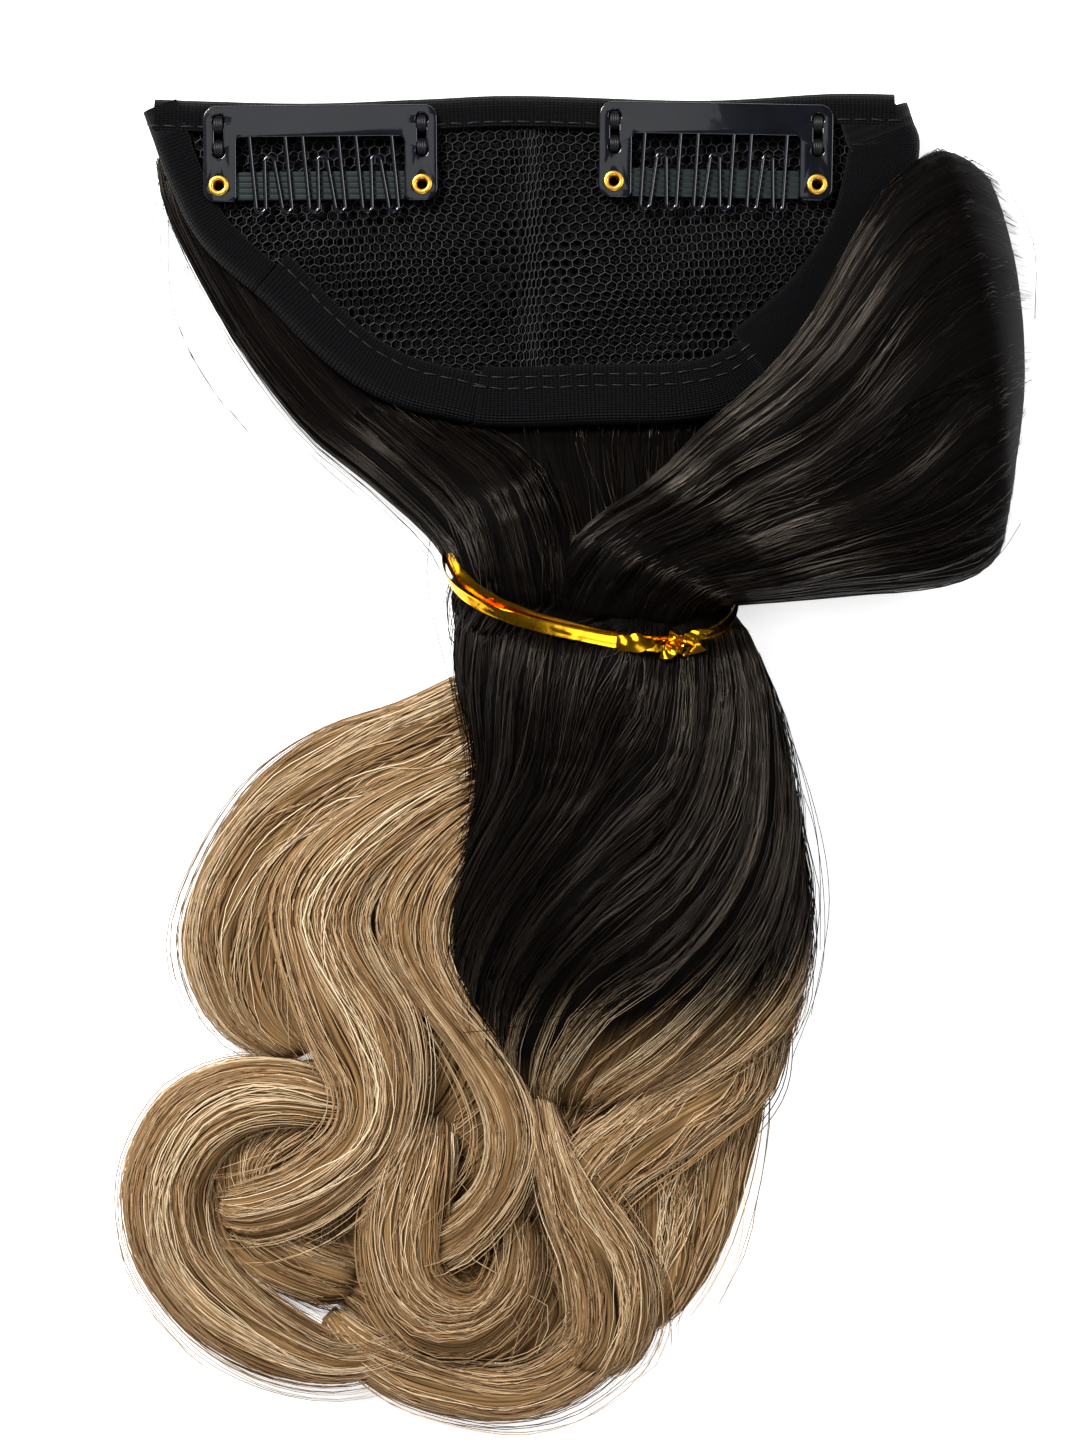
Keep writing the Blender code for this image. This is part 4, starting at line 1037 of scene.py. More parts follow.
    level = maths(tree, "SUBTRACT", height, 0.4)
    level = maths(tree, "MULTIPLY", level, given["Lift"])
    escape = maths(tree, "POWER", loose, 11.0)
    escape = maths(tree, "MULTIPLY", escape, given["Stray"])
    escape = maths(tree, "MULTIPLY_ADD", escape, place, level)
    raised = vector_scaled(tree, samples[1], escape)
    raised = vector_maths(tree, "ADD", samples[0], raised)
    raised = vector_maths(tree, "ADD", raised, ahead)
    spot = vector_of(tree, along, strand, phase)
    shake = cloud(tree, spot, 5.0, 2.0)
    shake = vector_maths(tree, "SUBTRACT", shake.outputs["Color"], (0.5, 0.5, 0.5))
    unrest = maths(tree, "MULTIPLY", given["Lift"], 0.55)
    shake = vector_scaled(tree, shake, unrest)
    raised = vector_maths(tree, "ADD", raised, shake)
    parts = add(tree, "ShaderNodeSeparateXYZ", {0: raised}).outputs
    rest = maths(tree, "MAXIMUM", parts[2], 0.12 * MM)
    raised = vector_of(tree, parts[0], parts[1], rest)

    clump_tone = maths(tree, "SINE", clump_way)
    clump_tone = maths(tree, "MULTIPLY", clump_tone, 0.16)
    tone_and_shade = maths(tree, "MULTIPLY_ADD", tint, 0.68, 0.16)
    tone_and_shade = maths(tree, "ADD", tone_and_shade, clump_tone)
    # Painted shade: strands that lie low are darker and those that stand high lighter, and strands near a
    # lock's rims are darker, for the shade in the hollows and between locks.
    aside = maths(tree, "MULTIPLY_ADD", swayed, 2.0, -1.0)
    aside = maths(tree, "POWER", aside, 4.0)
    painted_shade = maths(tree, "MULTIPLY_ADD", height, -0.22, 0.12)
    painted_shade = maths(tree, "MULTIPLY_ADD", aside, 0.34, painted_shade)
    tone_and_shade = maths(tree, "SUBTRACT", tone_and_shade, painted_shade, clamp=True)
    ragged = maths(tree, "MULTIPLY_ADD", tint, 0.1, along)
    right = maths(tree, "SUBTRACT", 1.0, swayed)
    right = maths(tree, "MULTIPLY", right, given["Slant"])
    ragged = maths(tree, "ADD", ragged, right)
    fair = add(
        tree,
        "ShaderNodeMapRange",
        {"Value": ragged, "From Min": given["Fair from"], "From Max": given["Fair to"]},
        interpolation_type="SMOOTHSTEP",
    )

    hair = add(tree, "GeometryNodePointsToCurves", {0: points, 1: strand})
    hair = add(tree, "GeometryNodeSetPosition", {0: hair, "Position": raised})
    for label, value in (("tone_and_shade", tone_and_shade), ("fair", fair)):
        hair = add(tree, "GeometryNodeStoreNamedAttribute", {0: hair, "Name": label, "Value": value})
    tip = maths(tree, "POWER", place, 6.0)
    tip = maths(tree, "MULTIPLY_ADD", tip, -0.7, 0.75)
    width = maths(tree, "MULTIPLY_ADD", thick, 0.5, tip)
    ring = add(tree, "GeometryNodeCurvePrimitiveCircle", {"Resolution": 3, "Radius": given["Thickness"]})
    tube = add(tree, "GeometryNodeCurveToMesh", {0: hair, 1: ring, "Scale": width, "Fill Caps": True})
    return finish_tree(tree, tube, given["Finish"])


def lock_sections():
    """Every lock's sections: two edge points in plan and a height, in metres."""
    found = {}
    for name, rows in ROOTS.items():
        found["root_" + name] = [
            (
                CAP_X + ax * NET_WIDTH,
                TIE_Y + ay * TIE_DROP,
                CAP_X + bx * NET_WIDTH,
                TIE_Y + by * TIE_DROP,
                bed * HAIR_BED + neck * NECK_HEIGHT,
            )
            for ax, ay, bx, by, bed, neck in rows
        ]
    across = Vector((math.cos(TIE_TURN), math.sin(TIE_TURN)))
    down = Vector((math.sin(TIE_TURN), -math.cos(TIE_TURN)))
    neck = []
    for shift, wide, high in NECK:
        place = Vector((TIE_X, TIE_Y)) + down * shift * NECK_REACH
        side = across * NECK_WIDTH / 2 * wide
        neck.append((*(place - side), *(place + side), (NECK_HEIGHT + 1.1 * MM) * high))
    found["neck"] = neck
    for name, rows, run, height in (
        ("fold", FOLD, FOLD_RISE, FOLD_HEIGHT),
        ("bundle", BUNDLE, -FALL_LENGTH, BUNDLE_HEIGHT),
    ):
        reach = FOLD_REACH if name == "fold" else FALL_REACH
        found[name] = [
            (
                TIE_X + row[0] * reach,
                TIE_Y + row[1] * run,
                TIE_X + row[2] * reach,
                TIE_Y + row[3] * run,
                row[4] * height,
                (row[5] if name == "fold" else 0.0) * reach,
            )
            for row in rows
        ]
    for name, rows in CURLS.items():
        found["curl_" + name] = [
            (
                TIE_X + ax * FALL_REACH,
                TIE_Y - ay * FALL_LENGTH,
                TIE_X + bx * FALL_REACH,
                TIE_Y - by * FALL_LENGTH,
                height * CURL_HEIGHT,
            )
            for ax, ay, bx, by, height in rows
        ]
    return found


def finer_ends(rows):
    """The rows with more of them where a lock's ends close."""

    def between(a, b, share):
        return tuple(np.array(a) + (np.array(b) - a) * share)

    starts = [between(rows[0], rows[1], share) for share in (0.12, 0.3, 0.6)]
    tails = [between(rows[-2], rows[-1], share) for share in (0.4, 0.7, 0.88)]
    return np.array(rows[:1] + starts + rows[1:-1] + tails + rows[-1:])


def lock_surface(name, sections, seed, growth):
    """A lock's closed surface with ridges that wind along it as its hair does.

    Its UV maps are UVMap, round and along from 0 to 1, and Streak, in millimetres.
    """
    rows = finer_ends(through([(*row, 0.0)[:6] for row in sections], 6))
    a = rows[:, 0:2]
    b = rows[:, 2:4]
    middle = (a + b) / 2
    half = (b - a) / 2
    wide = np.linalg.norm(half, axis=1, keepdims=True)
    run = np.linalg.norm(np.diff(middle, axis=0), axis=1)
    along = np.concatenate([[0.0], np.cumsum(run)])
    length = along[-1]
    v = along / length
    width = float(wide.mean())
    low = (rows[:, 4] - HAIR_SINK) / 2
    rise = (rows[:, 4] + HAIR_SINK) / 2
    crown = int(np.clip(2.0 * width / CROWN_FACET, *CROWN_FACETS))
    angles = [math.pi * k / crown for k in range(crown)]
    angles += [math.pi * (1 + k / UNDER_FACETS) for k in range(UNDER_FACETS + 1)]
    angles = np.array(angles)
    places = np.array([rounded(t) for t in angles])
    side = places[:, 0]
    up = places[:, 1]
    share = np.clip((1 - side) / 2, 0.0, 1.0)
    flow = share[None] - growth.wind * v[:, None] ** WIND_EASE
    ridge = np.zeros(flow.shape)
    for i in range(len(rows)):
        for k in range(crown + 1):
            spot = flow[i, k] * 2 * width / MM
            for pitch, run, size in RIDGES:
                wave = noise.noise(Vector((spot / pitch, along[i] / MM / run, seed * 3.1)))
                ridge[i, k] += size * MM * wave
    ridge *= min(1.0, width / RIDGED_WIDTH)
    ridge[:, -1] = ridge[:, 0]
    kind = "curl" if name == "curl_nested_curl" else growth.piece
    start, start_loss, finish, finish_loss = TAPERS.get(kind, TAPERS["other"])
    near = np.clip(along / start, 0.0, 1.0)
    far = np.clip((length - along) / finish, 0.0, 1.0)
    height = np.sqrt(1 - (1 - near) ** 2) * np.sqrt(1 - (1 - far) ** 2)
    height = END_HEIGHT + (1 - END_HEIGHT) * height
    narrow = 1 - finish_loss * (1 - far) ** 2 - start_loss * (1 - near) ** 2
    ridge *= height[:, None]
    reach = wide * side[None] * narrow[:, None] + ridge * side[None] * 0.6
    plan = middle[:, None, :] + (half / wide)[:, None, :] * reach[..., None]
    swell = rows[:, 5:6] * np.sin(math.pi * share[None]) ** 0.6
    plan[..., 0] += swell
    tall = low[:, None] * (0.5 + 0.5 * height[:, None])
    tall = tall + rise[:, None] * up[None] * height[:, None] + ridge * np.maximum(up[None], 0.0)
    points = np.concatenate([plan, tall[..., None]], axis=2).reshape(-1, 3)
    points[:, 2] = guarded(name, points)
    columns = len(angles)
    chart = np.stack(np.broadcast_arrays((angles / (2 * math.pi))[None], v[:, None]), axis=2)
    streak = np.stack(
        np.broadcast_arrays(flow * 2 * width / MM + 40.0 * seed, along[:, None] / MM), axis=2
    )
    turned = v[:, None] + growth.slant * (1 - share[None]) - growth.fair_from
    turned = np.clip(turned / (growth.fair_to - growth.fair_from), 0.0, 1.0)
    faces = sheet_faces(len(rows), columns)
    last = (len(rows) - 1) * columns
    faces += [tuple(range(columns - 1)), tuple(last + k for k in reversed(range(columns - 1)))]
    mesh = mesh_of(
        name,
        points,
        faces,
        {"UVMap": chart.reshape(-1, 2), "Streak": streak.reshape(-1, 2)},
        {"fair": turned.ravel()},
    )
    return mesh, width, length


def guarded(name, points):
    """Heights that keep a lock clear of the cap and of the floor."""
    height = points[:, 2]
    far = outline_distance(points[:, :2])
    free = np.clip((far - 1.7 * MM) / (3.0 * MM), 0.0, 1.0)
    free = free * free * (3 - 2 * free)
    if name.startswith("root"):
        lid = HAIR_BED - 0.15 * MM + 20 * MM * free
        height = np.minimum(height, lid)
    elif name.startswith("fold"):
        bed = (TAPE_HIGH + 0.75 * MM) * (1 - free)
        height = np.maximum(height, bed)
    return np.maximum(height, 0.05 * MM)


def make_hair(tubes, finishes):
    """The locks' surfaces as two pieces, and their strands as five."""
    tree = strand_tree()
    strands = {}
    masses = {"dark_hair": [], "fair_curls": []}
    for seed, (name, sections) in enumerate(lock_sections().items()):
        growth = Growth(*GROWTH[name])
        mass, width, length = lock_surface(name, sections, seed, growth)
        slot = "fair" if growth.piece in ("wave", "curl") else "dark"
        mass.materials.append(finishes[slot + "_mass"])
        masses["fair_curls" if slot == "fair" else "dark_hair"].append(mass)
        depth = max(section[4] for section in sections)
        crown = math.pi * math.sqrt((width**2 + (depth / 2) ** 2) / 2)
        values = {
            **STRANDS[slot],
            "Strands": round(growth.density * crown / MM * (1 + abs(growth.wind))),
            "Steps": max(8, round(length / STRAND_STEP[slot])),
            "Seed": seed,
            "Clumps": max(3, round(width / CLUMP)),
            "Pull": 0.55,
            "Overrun": 1.0 if name == "fold" else 0.5,
            "Wind": growth.wind,
            "Slant": growth.slant,
            "Fair from": growth.fair_from,
            "Fair to": growth.fair_to,
            "Finish": finishes[slot + "_fibre"],
        }
        strands.setdefault(growth.piece, []).append(grown(mass.copy(), tree, values))
    lines = [[Vector(row[:3]) * MM for row in through(hair, 8)] for hair in LOOSE_HAIRS]
    values = {"Radius": FIBRE, "Flatness": 1.0, "Sides": 3, "Finish": finishes["dark_fibre"]}
    strands["root"].append(grown(polyline("loose_hairs", lines), tubes, values))
    for name, meshes in masses.items():
        made = joined(name + "_mass", [welded(mesh) for mesh in meshes])
        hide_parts(name)
        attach(made, "piece")
    for name, meshes in strands.items():
        made = joined(name + "_strands", meshes)
        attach(made, "piece")


# Net and tapes


def net_height(x, y, share, depth):
    """The net's upper side, with its two lobes, its pleat and small slack folds."""
    aside = abs(x - CAP_X)
    lobe = max(math.sin(math.pi * min(aside / (0.36 * NET_WIDTH), 1.0)), 0.0) ** 0.7
    pleat = 1.0 - math.exp(-((aside / PLEAT_WIDTH) ** 2))
    along = math.sin(math.pi * min(max((share - 0.36) / 0.46, 0.0), 1.0)) ** 2
    room = min(depth / (0.75 * NET_DEPTH), 1.0) ** 3
    slack = noise.noise(Vector((x / (9 * MM), y / (16 * MM), 4.0))) * 0.12 * MM
    return NET_TOP + LOBE_RISE * lobe * pleat * along * room + slack


def net_surface():
    """The net's upper side, for its threads to lie on."""
    top = evenly(edge_curve("straight"), 0.0, 1.0, 121)
    low = evenly(edge_curve("round"), 0.0, 1.0, 121)
    rows = 41
    points = []
    for start, end in zip(top, low):
        depth = (end - start).length
        for k in range(rows):
            share = k / (rows - 1)
            p = start.lerp(end, share)
            points.append((p.x, p.y, net_height(p.x, p.y, share, depth)))
    return mesh_of("net_surface", points, sheet_faces(len(top), rows))


def net_tree():
    """A hexagonal mesh of threads laid on a surface: the dual of a sheared grid."""
    tree, given = new_tree(
        "hexagonal_net",
        {"Cell": "Float", "Thread": "Float", "Level": "Float", "Turn": "Float", "Finish": "Material"},
    )
    columns = 112
    rows = 66
    width = maths(tree, "MULTIPLY", given["Cell"], columns - 1.0)
    step = maths(tree, "MULTIPLY", given["Cell"], 0.866)
    depth = maths(tree, "MULTIPLY", step, rows - 1.0)
    grid = add(
        tree,
        "GeometryNodeMeshGrid",
        {"Size X": width, "Size Y": depth, "Vertices X": columns, "Vertices Y": rows},
    )
    parts = add(tree, "ShaderNodeSeparateXYZ", {0: add(tree, "GeometryNodeInputPosition")}).outputs
    lean = maths(tree, "MULTIPLY", parts[1], 0.57735)
    lean = vector_of(tree, lean)
    sheared = add(tree, "GeometryNodeSetPosition", {0: grid, "Offset": lean})
    split = add(tree, "GeometryNodeTriangulate", {0: sheared})
    cells = add(tree, "GeometryNodeDualMesh", {0: split})
    turn = vector_of(tree, 0.0, 0.0, given["Turn"])
    cells = add(tree, "GeometryNodeTransform", {0: cells, "Rotation": turn})
    here = add(tree, "GeometryNodeInputPosition")
    soft = cloud(tree, here, 260.0, 2.0)
    soft = vector_maths(tree, "SUBTRACT", soft.outputs["Color"], (0.5, 0.5, 0.5))
    give = maths(tree, "MULTIPLY", given["Cell"], 0.42)
    soft = vector_scaled(tree, soft, give)
    middle = cap_point(0.0, 0.5)
    above = vector_maths(tree, "ADD", here, (middle.x, middle.y, 0.05))
    above = vector_maths(tree, "ADD", above, soft)
    parts = add(tree, "ShaderNodeSeparateXYZ", {0: here}).outputs
    share = maths(tree, "DIVIDE", parts[0], 1.2 * PLEAT_WIDTH)
    fall = maths(tree, "POWER", share, 2.0)
    fall = maths(tree, "MULTIPLY", fall, -1.0)
    fall = maths(tree, "EXPONENT", fall)
    pull = maths(tree, "MULTIPLY", parts[0], -0.62)
    pull = maths(tree, "MULTIPLY", pull, fall)
    pull = vector_of(tree, pull)
    above = vector_maths(tree, "ADD", above, pull)
    ray = add(
        tree,
        "GeometryNodeRaycast",
        {0: given[0], "Source Position": above, "Ray Direction": (0.0, 0.0, -1.0), "Ray Length": 1.0},
    )
    miss = add(tree, "FunctionNodeBooleanMath", {0: ray.outputs["Is Hit"]}, operation="NOT")
    raised = vector_of(tree, 0.0, 0.0, given["Level"])
    kept = add(tree, "GeometryNodeDeleteGeometry", {0: cells, 1: miss})
    laid = add(
        tree,
        "GeometryNodeSetPosition",
        {0: kept, "Position": ray.outputs["Hit Position"], "Offset": raised},
    )
    lines = add(tree, "GeometryNodeMeshToCurve", {0: laid})
    ring = add(tree, "GeometryNodeCurvePrimitiveCircle", {"Resolution": 3, "Radius": given["Thread"]})
    tube = add(tree, "GeometryNodeCurveToMesh", {0: lines, 1: ring, "Fill Caps": False})
    return finish_tree(tree, tube, given["Finish"])


def tube_tree():
    """Tubes along lines, with a flattened round section."""
    tree, given = new_tree(
        "tubes", {"Radius": "Float", "Flatness": "Float", "Sides": "Int", "Finish": "Material"}
    )
    lines = add(tree, "GeometryNodeMeshToCurve", {0: given[0]})
    lines = add(tree, "GeometryNodeSetCurveNormal", {0: lines}, mode="Z_UP")
    ring = add(
        tree, "GeometryNodeCurvePrimitiveCircle", {"Resolution": given["Sides"], "Radius": given["Radius"]}
    )
    squash = vector_of(tree, 1.0, given["Flatness"], 1.0)
    ring = add(tree, "GeometryNodeTransform", {0: ring, "Scale": squash})
    tube = add(tree, "GeometryNodeCurveToMesh", {0: lines, 1: ring, "Fill Caps": True})
    return finish_tree(tree, tube, given["Finish"])


def stitch_tree():
    """Stitches laid end to end along lines, each a short tapered stub of thread."""
    tree, given = new_tree(
        "stitches", {"Pitch": "Float", "Radius": "Float", "Seed": "Int", "Finish": "Material"}
    )
    lines = add(tree, "GeometryNodeMeshToCurve", {0: given[0]})
    dots = add(tree, "GeometryNodeCurveToPoints", {0: lines, "Length": given["Pitch"]}, mode="LENGTH")
    stub = add(
        tree,
        "GeometryNodeMeshUVSphere",
        {"Segments": 8, "Rings": 6, "Radius": given["Radius"]},
    )
    stretch = maths(tree, "DIVIDE", given["Pitch"], given["Radius"])
    stretch = maths(tree, "MULTIPLY", stretch, 0.43)
    long_way = vector_of(tree, 1.0, 0.7, stretch)
    stub = add(tree, "GeometryNodeTransform", {0: stub, "Scale": long_way})
    slant = add(
        tree,
        "FunctionNodeRandomValue",
        {"Min": (-0.12, -0.12, 0.0), "Max": (0.12, 0.12, 0.0), "Seed": given["Seed"]},
        data_type="FLOAT_VECTOR",
    )
    course = vector_maths(tree, "ADD", dots.outputs["Tangent"], slant)
    turn = add(tree, "FunctionNodeAlignRotationToVector", {"Vector": course}, axis="Z")
    laid = add(tree, "GeometryNodeInstanceOnPoints", {0: dots, "Instance": stub, "Rotation": turn})
    return finish_tree(tree, laid, given["Finish"])


def tape_line(reach):
    """The middle of a folded tape's wall: columns inward from its fold, height."""
    low = TAPE_LOW + TAPE_WALL / 2
    high = TAPE_HIGH - TAPE_WALL / 2
    turn = (high - low) / 2
    inner = reach + EDGE_INSET
    line = [(inner, low), ((inner + turn) / 2, low), (turn, low)]
    for k in range(1, 8):
        angle = math.radians(-90 - 180 * k / 8)
        line.append((turn + turn * math.cos(angle), low + turn + turn * math.sin(angle)))
    line += [(turn, high)]
    for k in range(1, 9):
        line.append((turn + (inner - turn) * k / 8, high))
    return line


def make_tape(row, finishes, stitches):
    """A folded tape along an edge of the cap, its length and its cut width."""
    name, edge, start, end, reach, seams = row
    curve = edge_curve(edge)
    count = max(12, round((end - start) * 220))
    points = evenly(curve, start, end, count)
    if name == "side_binding":
        points.insert(0, cap_point(-0.502, 0.010))
    if name == "corner_cloth":
        points.append(cap_point(0.484, -0.004))
    count = len(points)
    lift = 0.05 * MM if edge == "straight" else 0.0
    line = tape_line(reach)
    wall = TAPE_WALL / 2
    rings = []
    maps = []
    for i, point in enumerate(points):
        out = outward(points, i)
        fold = point + out * (EDGE_INSET - TAPE_WALL / 2)
        travelled = i / (count - 1) * (points[0] - points[-1]).length
        for inset in (wall, -wall):
            step = line if inset > 0 else line[::-1]
            width = 0.0
            for k, (inward, height) in enumerate(step):
                before = step[max(k - 1, 0)]
                after = step[min(k + 1, len(step) - 1)]
                way = Vector((after[0] - before[0], after[1] - before[1])).normalized()
                off = Vector((way.y, -way.x)) * wall
                ripple = noise.noise(Vector((point.x / (5 * MM), point.y / (5 * MM), inward / (2 * MM))))
                spot = fold - out * (inward + off.x)
                rings.append((spot.x, spot.y, height + off.y + ripple * 0.10 * MM + lift))
                width += math.hypot(inward - before[0], height - before[1])
                maps.append((travelled / MM, width / MM))
    faces = tube_faces(count, 2 * len(line))
    mesh = welded(mesh_of(name, rings, faces, {"Weave": maps}))
    tape = new_piece(name + "_tape", mesh, finishes["tape" if name != "corner_cloth" else "cloth"])
    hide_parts(name)
    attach(tape, "piece")
    length = sum((b - a).length for a, b in zip(points, points[1:]))
    cut = sum(math.dist(a, b) for a, b in zip(line, line[1:]))
    for seam in seams:
        path = []
        for i, point in enumerate(points):
            out = outward(points, i)
            spot = point - out * reach * seam
            path.append((spot.x, spot.y, TAPE_HIGH + 0.08 * MM))
        stitches.append(path)
    return tape, (length, cut)


def make_net(finishes):
    """The net's threads over the frame's own net, which stays as its backing."""
    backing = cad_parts["net_cap"]
    backing.material_slots[0].material = finishes["under_net"]
    tree = net_tree()
    layers = []
    for level, turn, thread, finish in (
        (0.26 * MM, 0.06, NET_THREAD, "net"),
        (0.10 * MM, 0.11, 0.7 * NET_THREAD, "low_net"),
    ):
        values = {"Cell": NET_CELL, "Level": level, "Turn": turn, "Thread": thread}
        layers.append(grown(net_surface(), tree, {**values, "Finish": finishes[finish]}))
    net = joined("net_threads", layers)
    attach(net, "piece")
    ring = evenly(edge_curve("straight"), 0.0, 1.0, 60)
    ring += evenly(edge_curve("round"), 0.0, 1.0, 60)[::-1]


# Combs


def clip_place(middle, drop, turn):
    """Where a comb's own frame lies on the cap."""
    origin = Vector((CAP_X + middle, CAP_Y - drop, 0.0))
    return Matrix.Translation(origin) @ Matrix.Rotation(math.radians(turn), 4, "Z")


def plate_outlines():
    """The sprung sheet's edge, its thread slots and its eyelet holes."""
    side = CLIP_WIDTH / 2
    inner = side - LEG_WIDTH
    corner = CLIP_CORNER
    soft = 0.7 * MM
    edge = arc((side - corner, -corner), corner, 0, 90, 12)
    edge += arc((-side + corner, -corner), corner, 90, 180, 12)
    edge += arc((-side + corner, -CLIP_DEPTH + corner), corner, 180, 270, 12)
    edge += arc((-inner - soft, -CLIP_DEPTH + soft), soft, 270, 360, 6)
    edge += arc((-inner + soft, -WINDOW_TOP - soft), soft, 180, 90, 6)
    edge += arc((inner - soft, -WINDOW_TOP - soft), soft, 90, 0, 6)
    edge += arc((inner + soft, -CLIP_DEPTH + soft), soft, 180, 270, 6)
    edge += arc((side - corner, -CLIP_DEPTH + corner), corner, 270, 360, 12)
    outlines = [edge]
    open_angle = math.degrees(math.asin(SLOT_NECK / 2 / SLOT_HOLE))
    for x in (-side + SLOT_INSET, side - SLOT_INSET):
        upper = arc((x, -SLOT_TOP), SLOT_HOLE, -90 + open_angle, 270 - open_angle, 20)
        lower = arc((x, -SLOT_TOP - SLOT_PITCH), SLOT_HOLE, 90 + open_angle, 450 - open_angle, 20)
        outlines.append(upper + lower)
        outlines.append(arc((x, -EYELET_DROP), EYELET_BARREL + 0.12 * MM, 0, 350, 36))
    return outlines


def make_plate(name, place, finishes):
    """The stamped sheet with rolled edges and a slight spring bow."""
    rim = 0.14 * MM
    curve = bpy.data.curves.new(name, "CURVE")
    curve.dimensions = "2D"
    curve.fill_mode = "BOTH"
    curve.extrude = SHEET / 2 - rim
    curve.bevel_depth = rim
    curve.bevel_resolution = 3
    curve.offset = -rim
    for outline in plate_outlines():
        line = curve.splines.new("POLY")
        line.points.add(len(outline) - 1)
        line.use_cyclic_u = True
        for point, (x, y) in zip(line.points, outline):
            point.co = (x, y, 0.0, 1.0)
    guide = bpy.data.objects.new(name, curve)
    bpy.context.scene.collection.objects.link(guide)
    mesh = settled(guide)
    work = bmesh.new()
    work.from_mesh(mesh)
    bmesh.ops.remove_doubles(work, verts=work.verts, dist=1e-7)
    for k in range(-10, 11):
        parts = list(work.verts) + list(work.edges) + list(work.faces)
        bmesh.ops.bisect_plane(
            work, geom=parts, plane_co=(k * CLIP_WIDTH / 22, 0, 0), plane_no=(1, 0, 0), dist=1e-7
        )
    for vert in work.verts:
        vert.co.z += CLIP_LOW + SHEET / 2 + spring_bow(vert.co.x)
    bmesh.ops.recalc_face_normals(work, faces=work.faces)
    work.to_mesh(mesh)
    work.free()
    mesh.transform(place)
    mesh.shade_smooth()
    mesh.set_sharp_from_angle(angle=math.radians(40))
    plate = new_piece(name + "_plate", mesh, finishes["steel"])
    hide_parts(name + "_frame")
    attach(plate, "piece")


def spring_bow(x):
    """How far the sheet stands up in its middle."""
    return 0.22 * MM * (math.cos(math.pi * min(abs(x) / (CLIP_WIDTH / 2), 1.0)) + 1) / 2


def make_teeth(name, place, lean, body, tree, finishes):
    """The wire loops, in three groups of two lower loops round an upper one."""
    half = GROUP_SPAN / 2
    tip = -(TOOTH_TIP - WIRE / 2 - TOOTH_LOOP)
    crest = -(TOOTH_CREST + WIRE / 2 + TOOTH_LOOP)
    aside = half - TOOTH_LOOP
    lines = []
    for group in (-1, 0, 1):
        middle = group * GROUP_PITCH
        flat = [(middle - half, -TOOTH_ROOT)]
        flat += arc((middle - aside + lean, tip), TOOTH_LOOP, 180, 360, 15)
        flat += arc((middle + lean / 3, crest), TOOTH_LOOP, 180, 0, 15)
        flat += arc((middle + aside + lean, tip), TOOTH_LOOP, 180, 360, 15)
        flat.append((middle + half, -TOOTH_ROOT))
        lines.append([(x, y, CLIP_LOW + SHEET / 2 + spring_bow(x)) for x, y in flat])
    mesh = grown(
        polyline("teeth", lines),
        tree,
        {"Radius": WIRE / 2, "Flatness": 0.87, "Sides": 12, "Finish": finishes["steel"]},
    )
    mesh.transform(place)
    teeth = new_piece(name + "_teeth", mesh)
    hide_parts(name + "_comb")
    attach(teeth, body)


def make_eyelets(name, place, finishes):
    """Tubular rivets with rolled rims."""
    lip = 0.25 * MM
    profile = [(EYELET_BORE, EYELET_FOOT), (EYELET_FLANGE, EYELET_FOOT)]
    profile += [(EYELET_FLANGE, EYELET_FOOT + lip), (EYELET_BARREL, EYELET_FOOT + lip)]
    profile += [(EYELET_BARREL, EYELET_HEAD)]
    middle = (EYELET_BORE + EYELET_FLANGE) / 2
    roll = (EYELET_FLANGE - EYELET_BORE) / 2
    for k in range(13):
        angle = math.pi * k / 12
        profile.append((middle + roll * math.cos(angle), EYELET_HEAD + lip * math.sin(angle) ** 0.7))
    sides = 48
    for number, side in enumerate((-1, 1)):
        x = side * (CLIP_WIDTH / 2 - SLOT_INSET)
        points = []
        faces = []
        for i in range(sides):
            angle = 2 * math.pi * i / sides
            for radius, height in profile:
                points.append(
                    (x + radius * math.cos(angle), -EYELET_DROP + radius * math.sin(angle), height)
                )
            for k in range(len(profile)):
                n = (k + 1) % len(profile)
                a = i * len(profile)
                b = (i + 1) % sides * len(profile)
                faces.append((a + k, b + k, b + n, a + n))
        mesh = welded(mesh_of("eyelet", points, faces))
        mesh.transform(place)
        mesh.set_sharp_from_angle(angle=math.radians(50))
        made = new_piece(f"{name}_eyelet_ring_{number + 1}", mesh, finishes["brass"])
        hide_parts(f"{name}_eyelet_{number + 1}")
        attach(made, "piece")


def thread_loops(place):
    """Thread that runs through each slot's holes and over its neck."""
    lines = []
    top = CLIP_LOW + SHEET
    for side in (-1, 1):
        x = side * (CLIP_WIDTH / 2 - SLOT_INSET)
        for number in range(4):
            shift = (number - 1.5) * 0.3 * MM
            for upper in (-SLOT_TOP + 0.5 * MM, -SLOT_TOP - SLOT_PITCH - 0.5 * MM):
                middle = -SLOT_TOP - SLOT_PITCH / 2
                ends = (upper, middle + (0.6 * MM if upper > middle else -0.6 * MM))
                line = []
                for k in range(9):
                    share = k / 8
                    y = ends[0] + (ends[1] - ends[0]) * share
                    lift = math.sin(math.pi * share) ** 0.5
                    spot = (x + shift * (0.6 + 0.4 * lift), y, top - 0.75 * MM + 1.0 * MM * lift)
                    line.append(place @ Vector(spot))
                lines.append(line)
    return lines


def make_clips(tree, finishes):
    """Both combs, and the thread that holds them to the cap."""
    threads = []
    for name, middle, drop, turn, lean, body in CLIPS:
        place = clip_place(middle, drop, turn)
        make_plate(name, place, finishes)
        make_teeth(name, place, lean, body, tree, finishes)
        make_eyelets(name, place, finishes)
        threads += thread_loops(place)
        for part, finish in (("_bar", "steel"), ("_grip", "silicone")):
            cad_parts[name + part].material_slots[0].material = finishes[finish]
    mesh = grown(
        polyline("thread", threads),
        tree,
        {"Radius": 0.24 * MM, "Flatness": 1.0, "Sides": 7, "Finish": finishes["thread"]},
    )
    made = new_piece("clip_sewing", mesh)
    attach(made, "piece")


# Tie


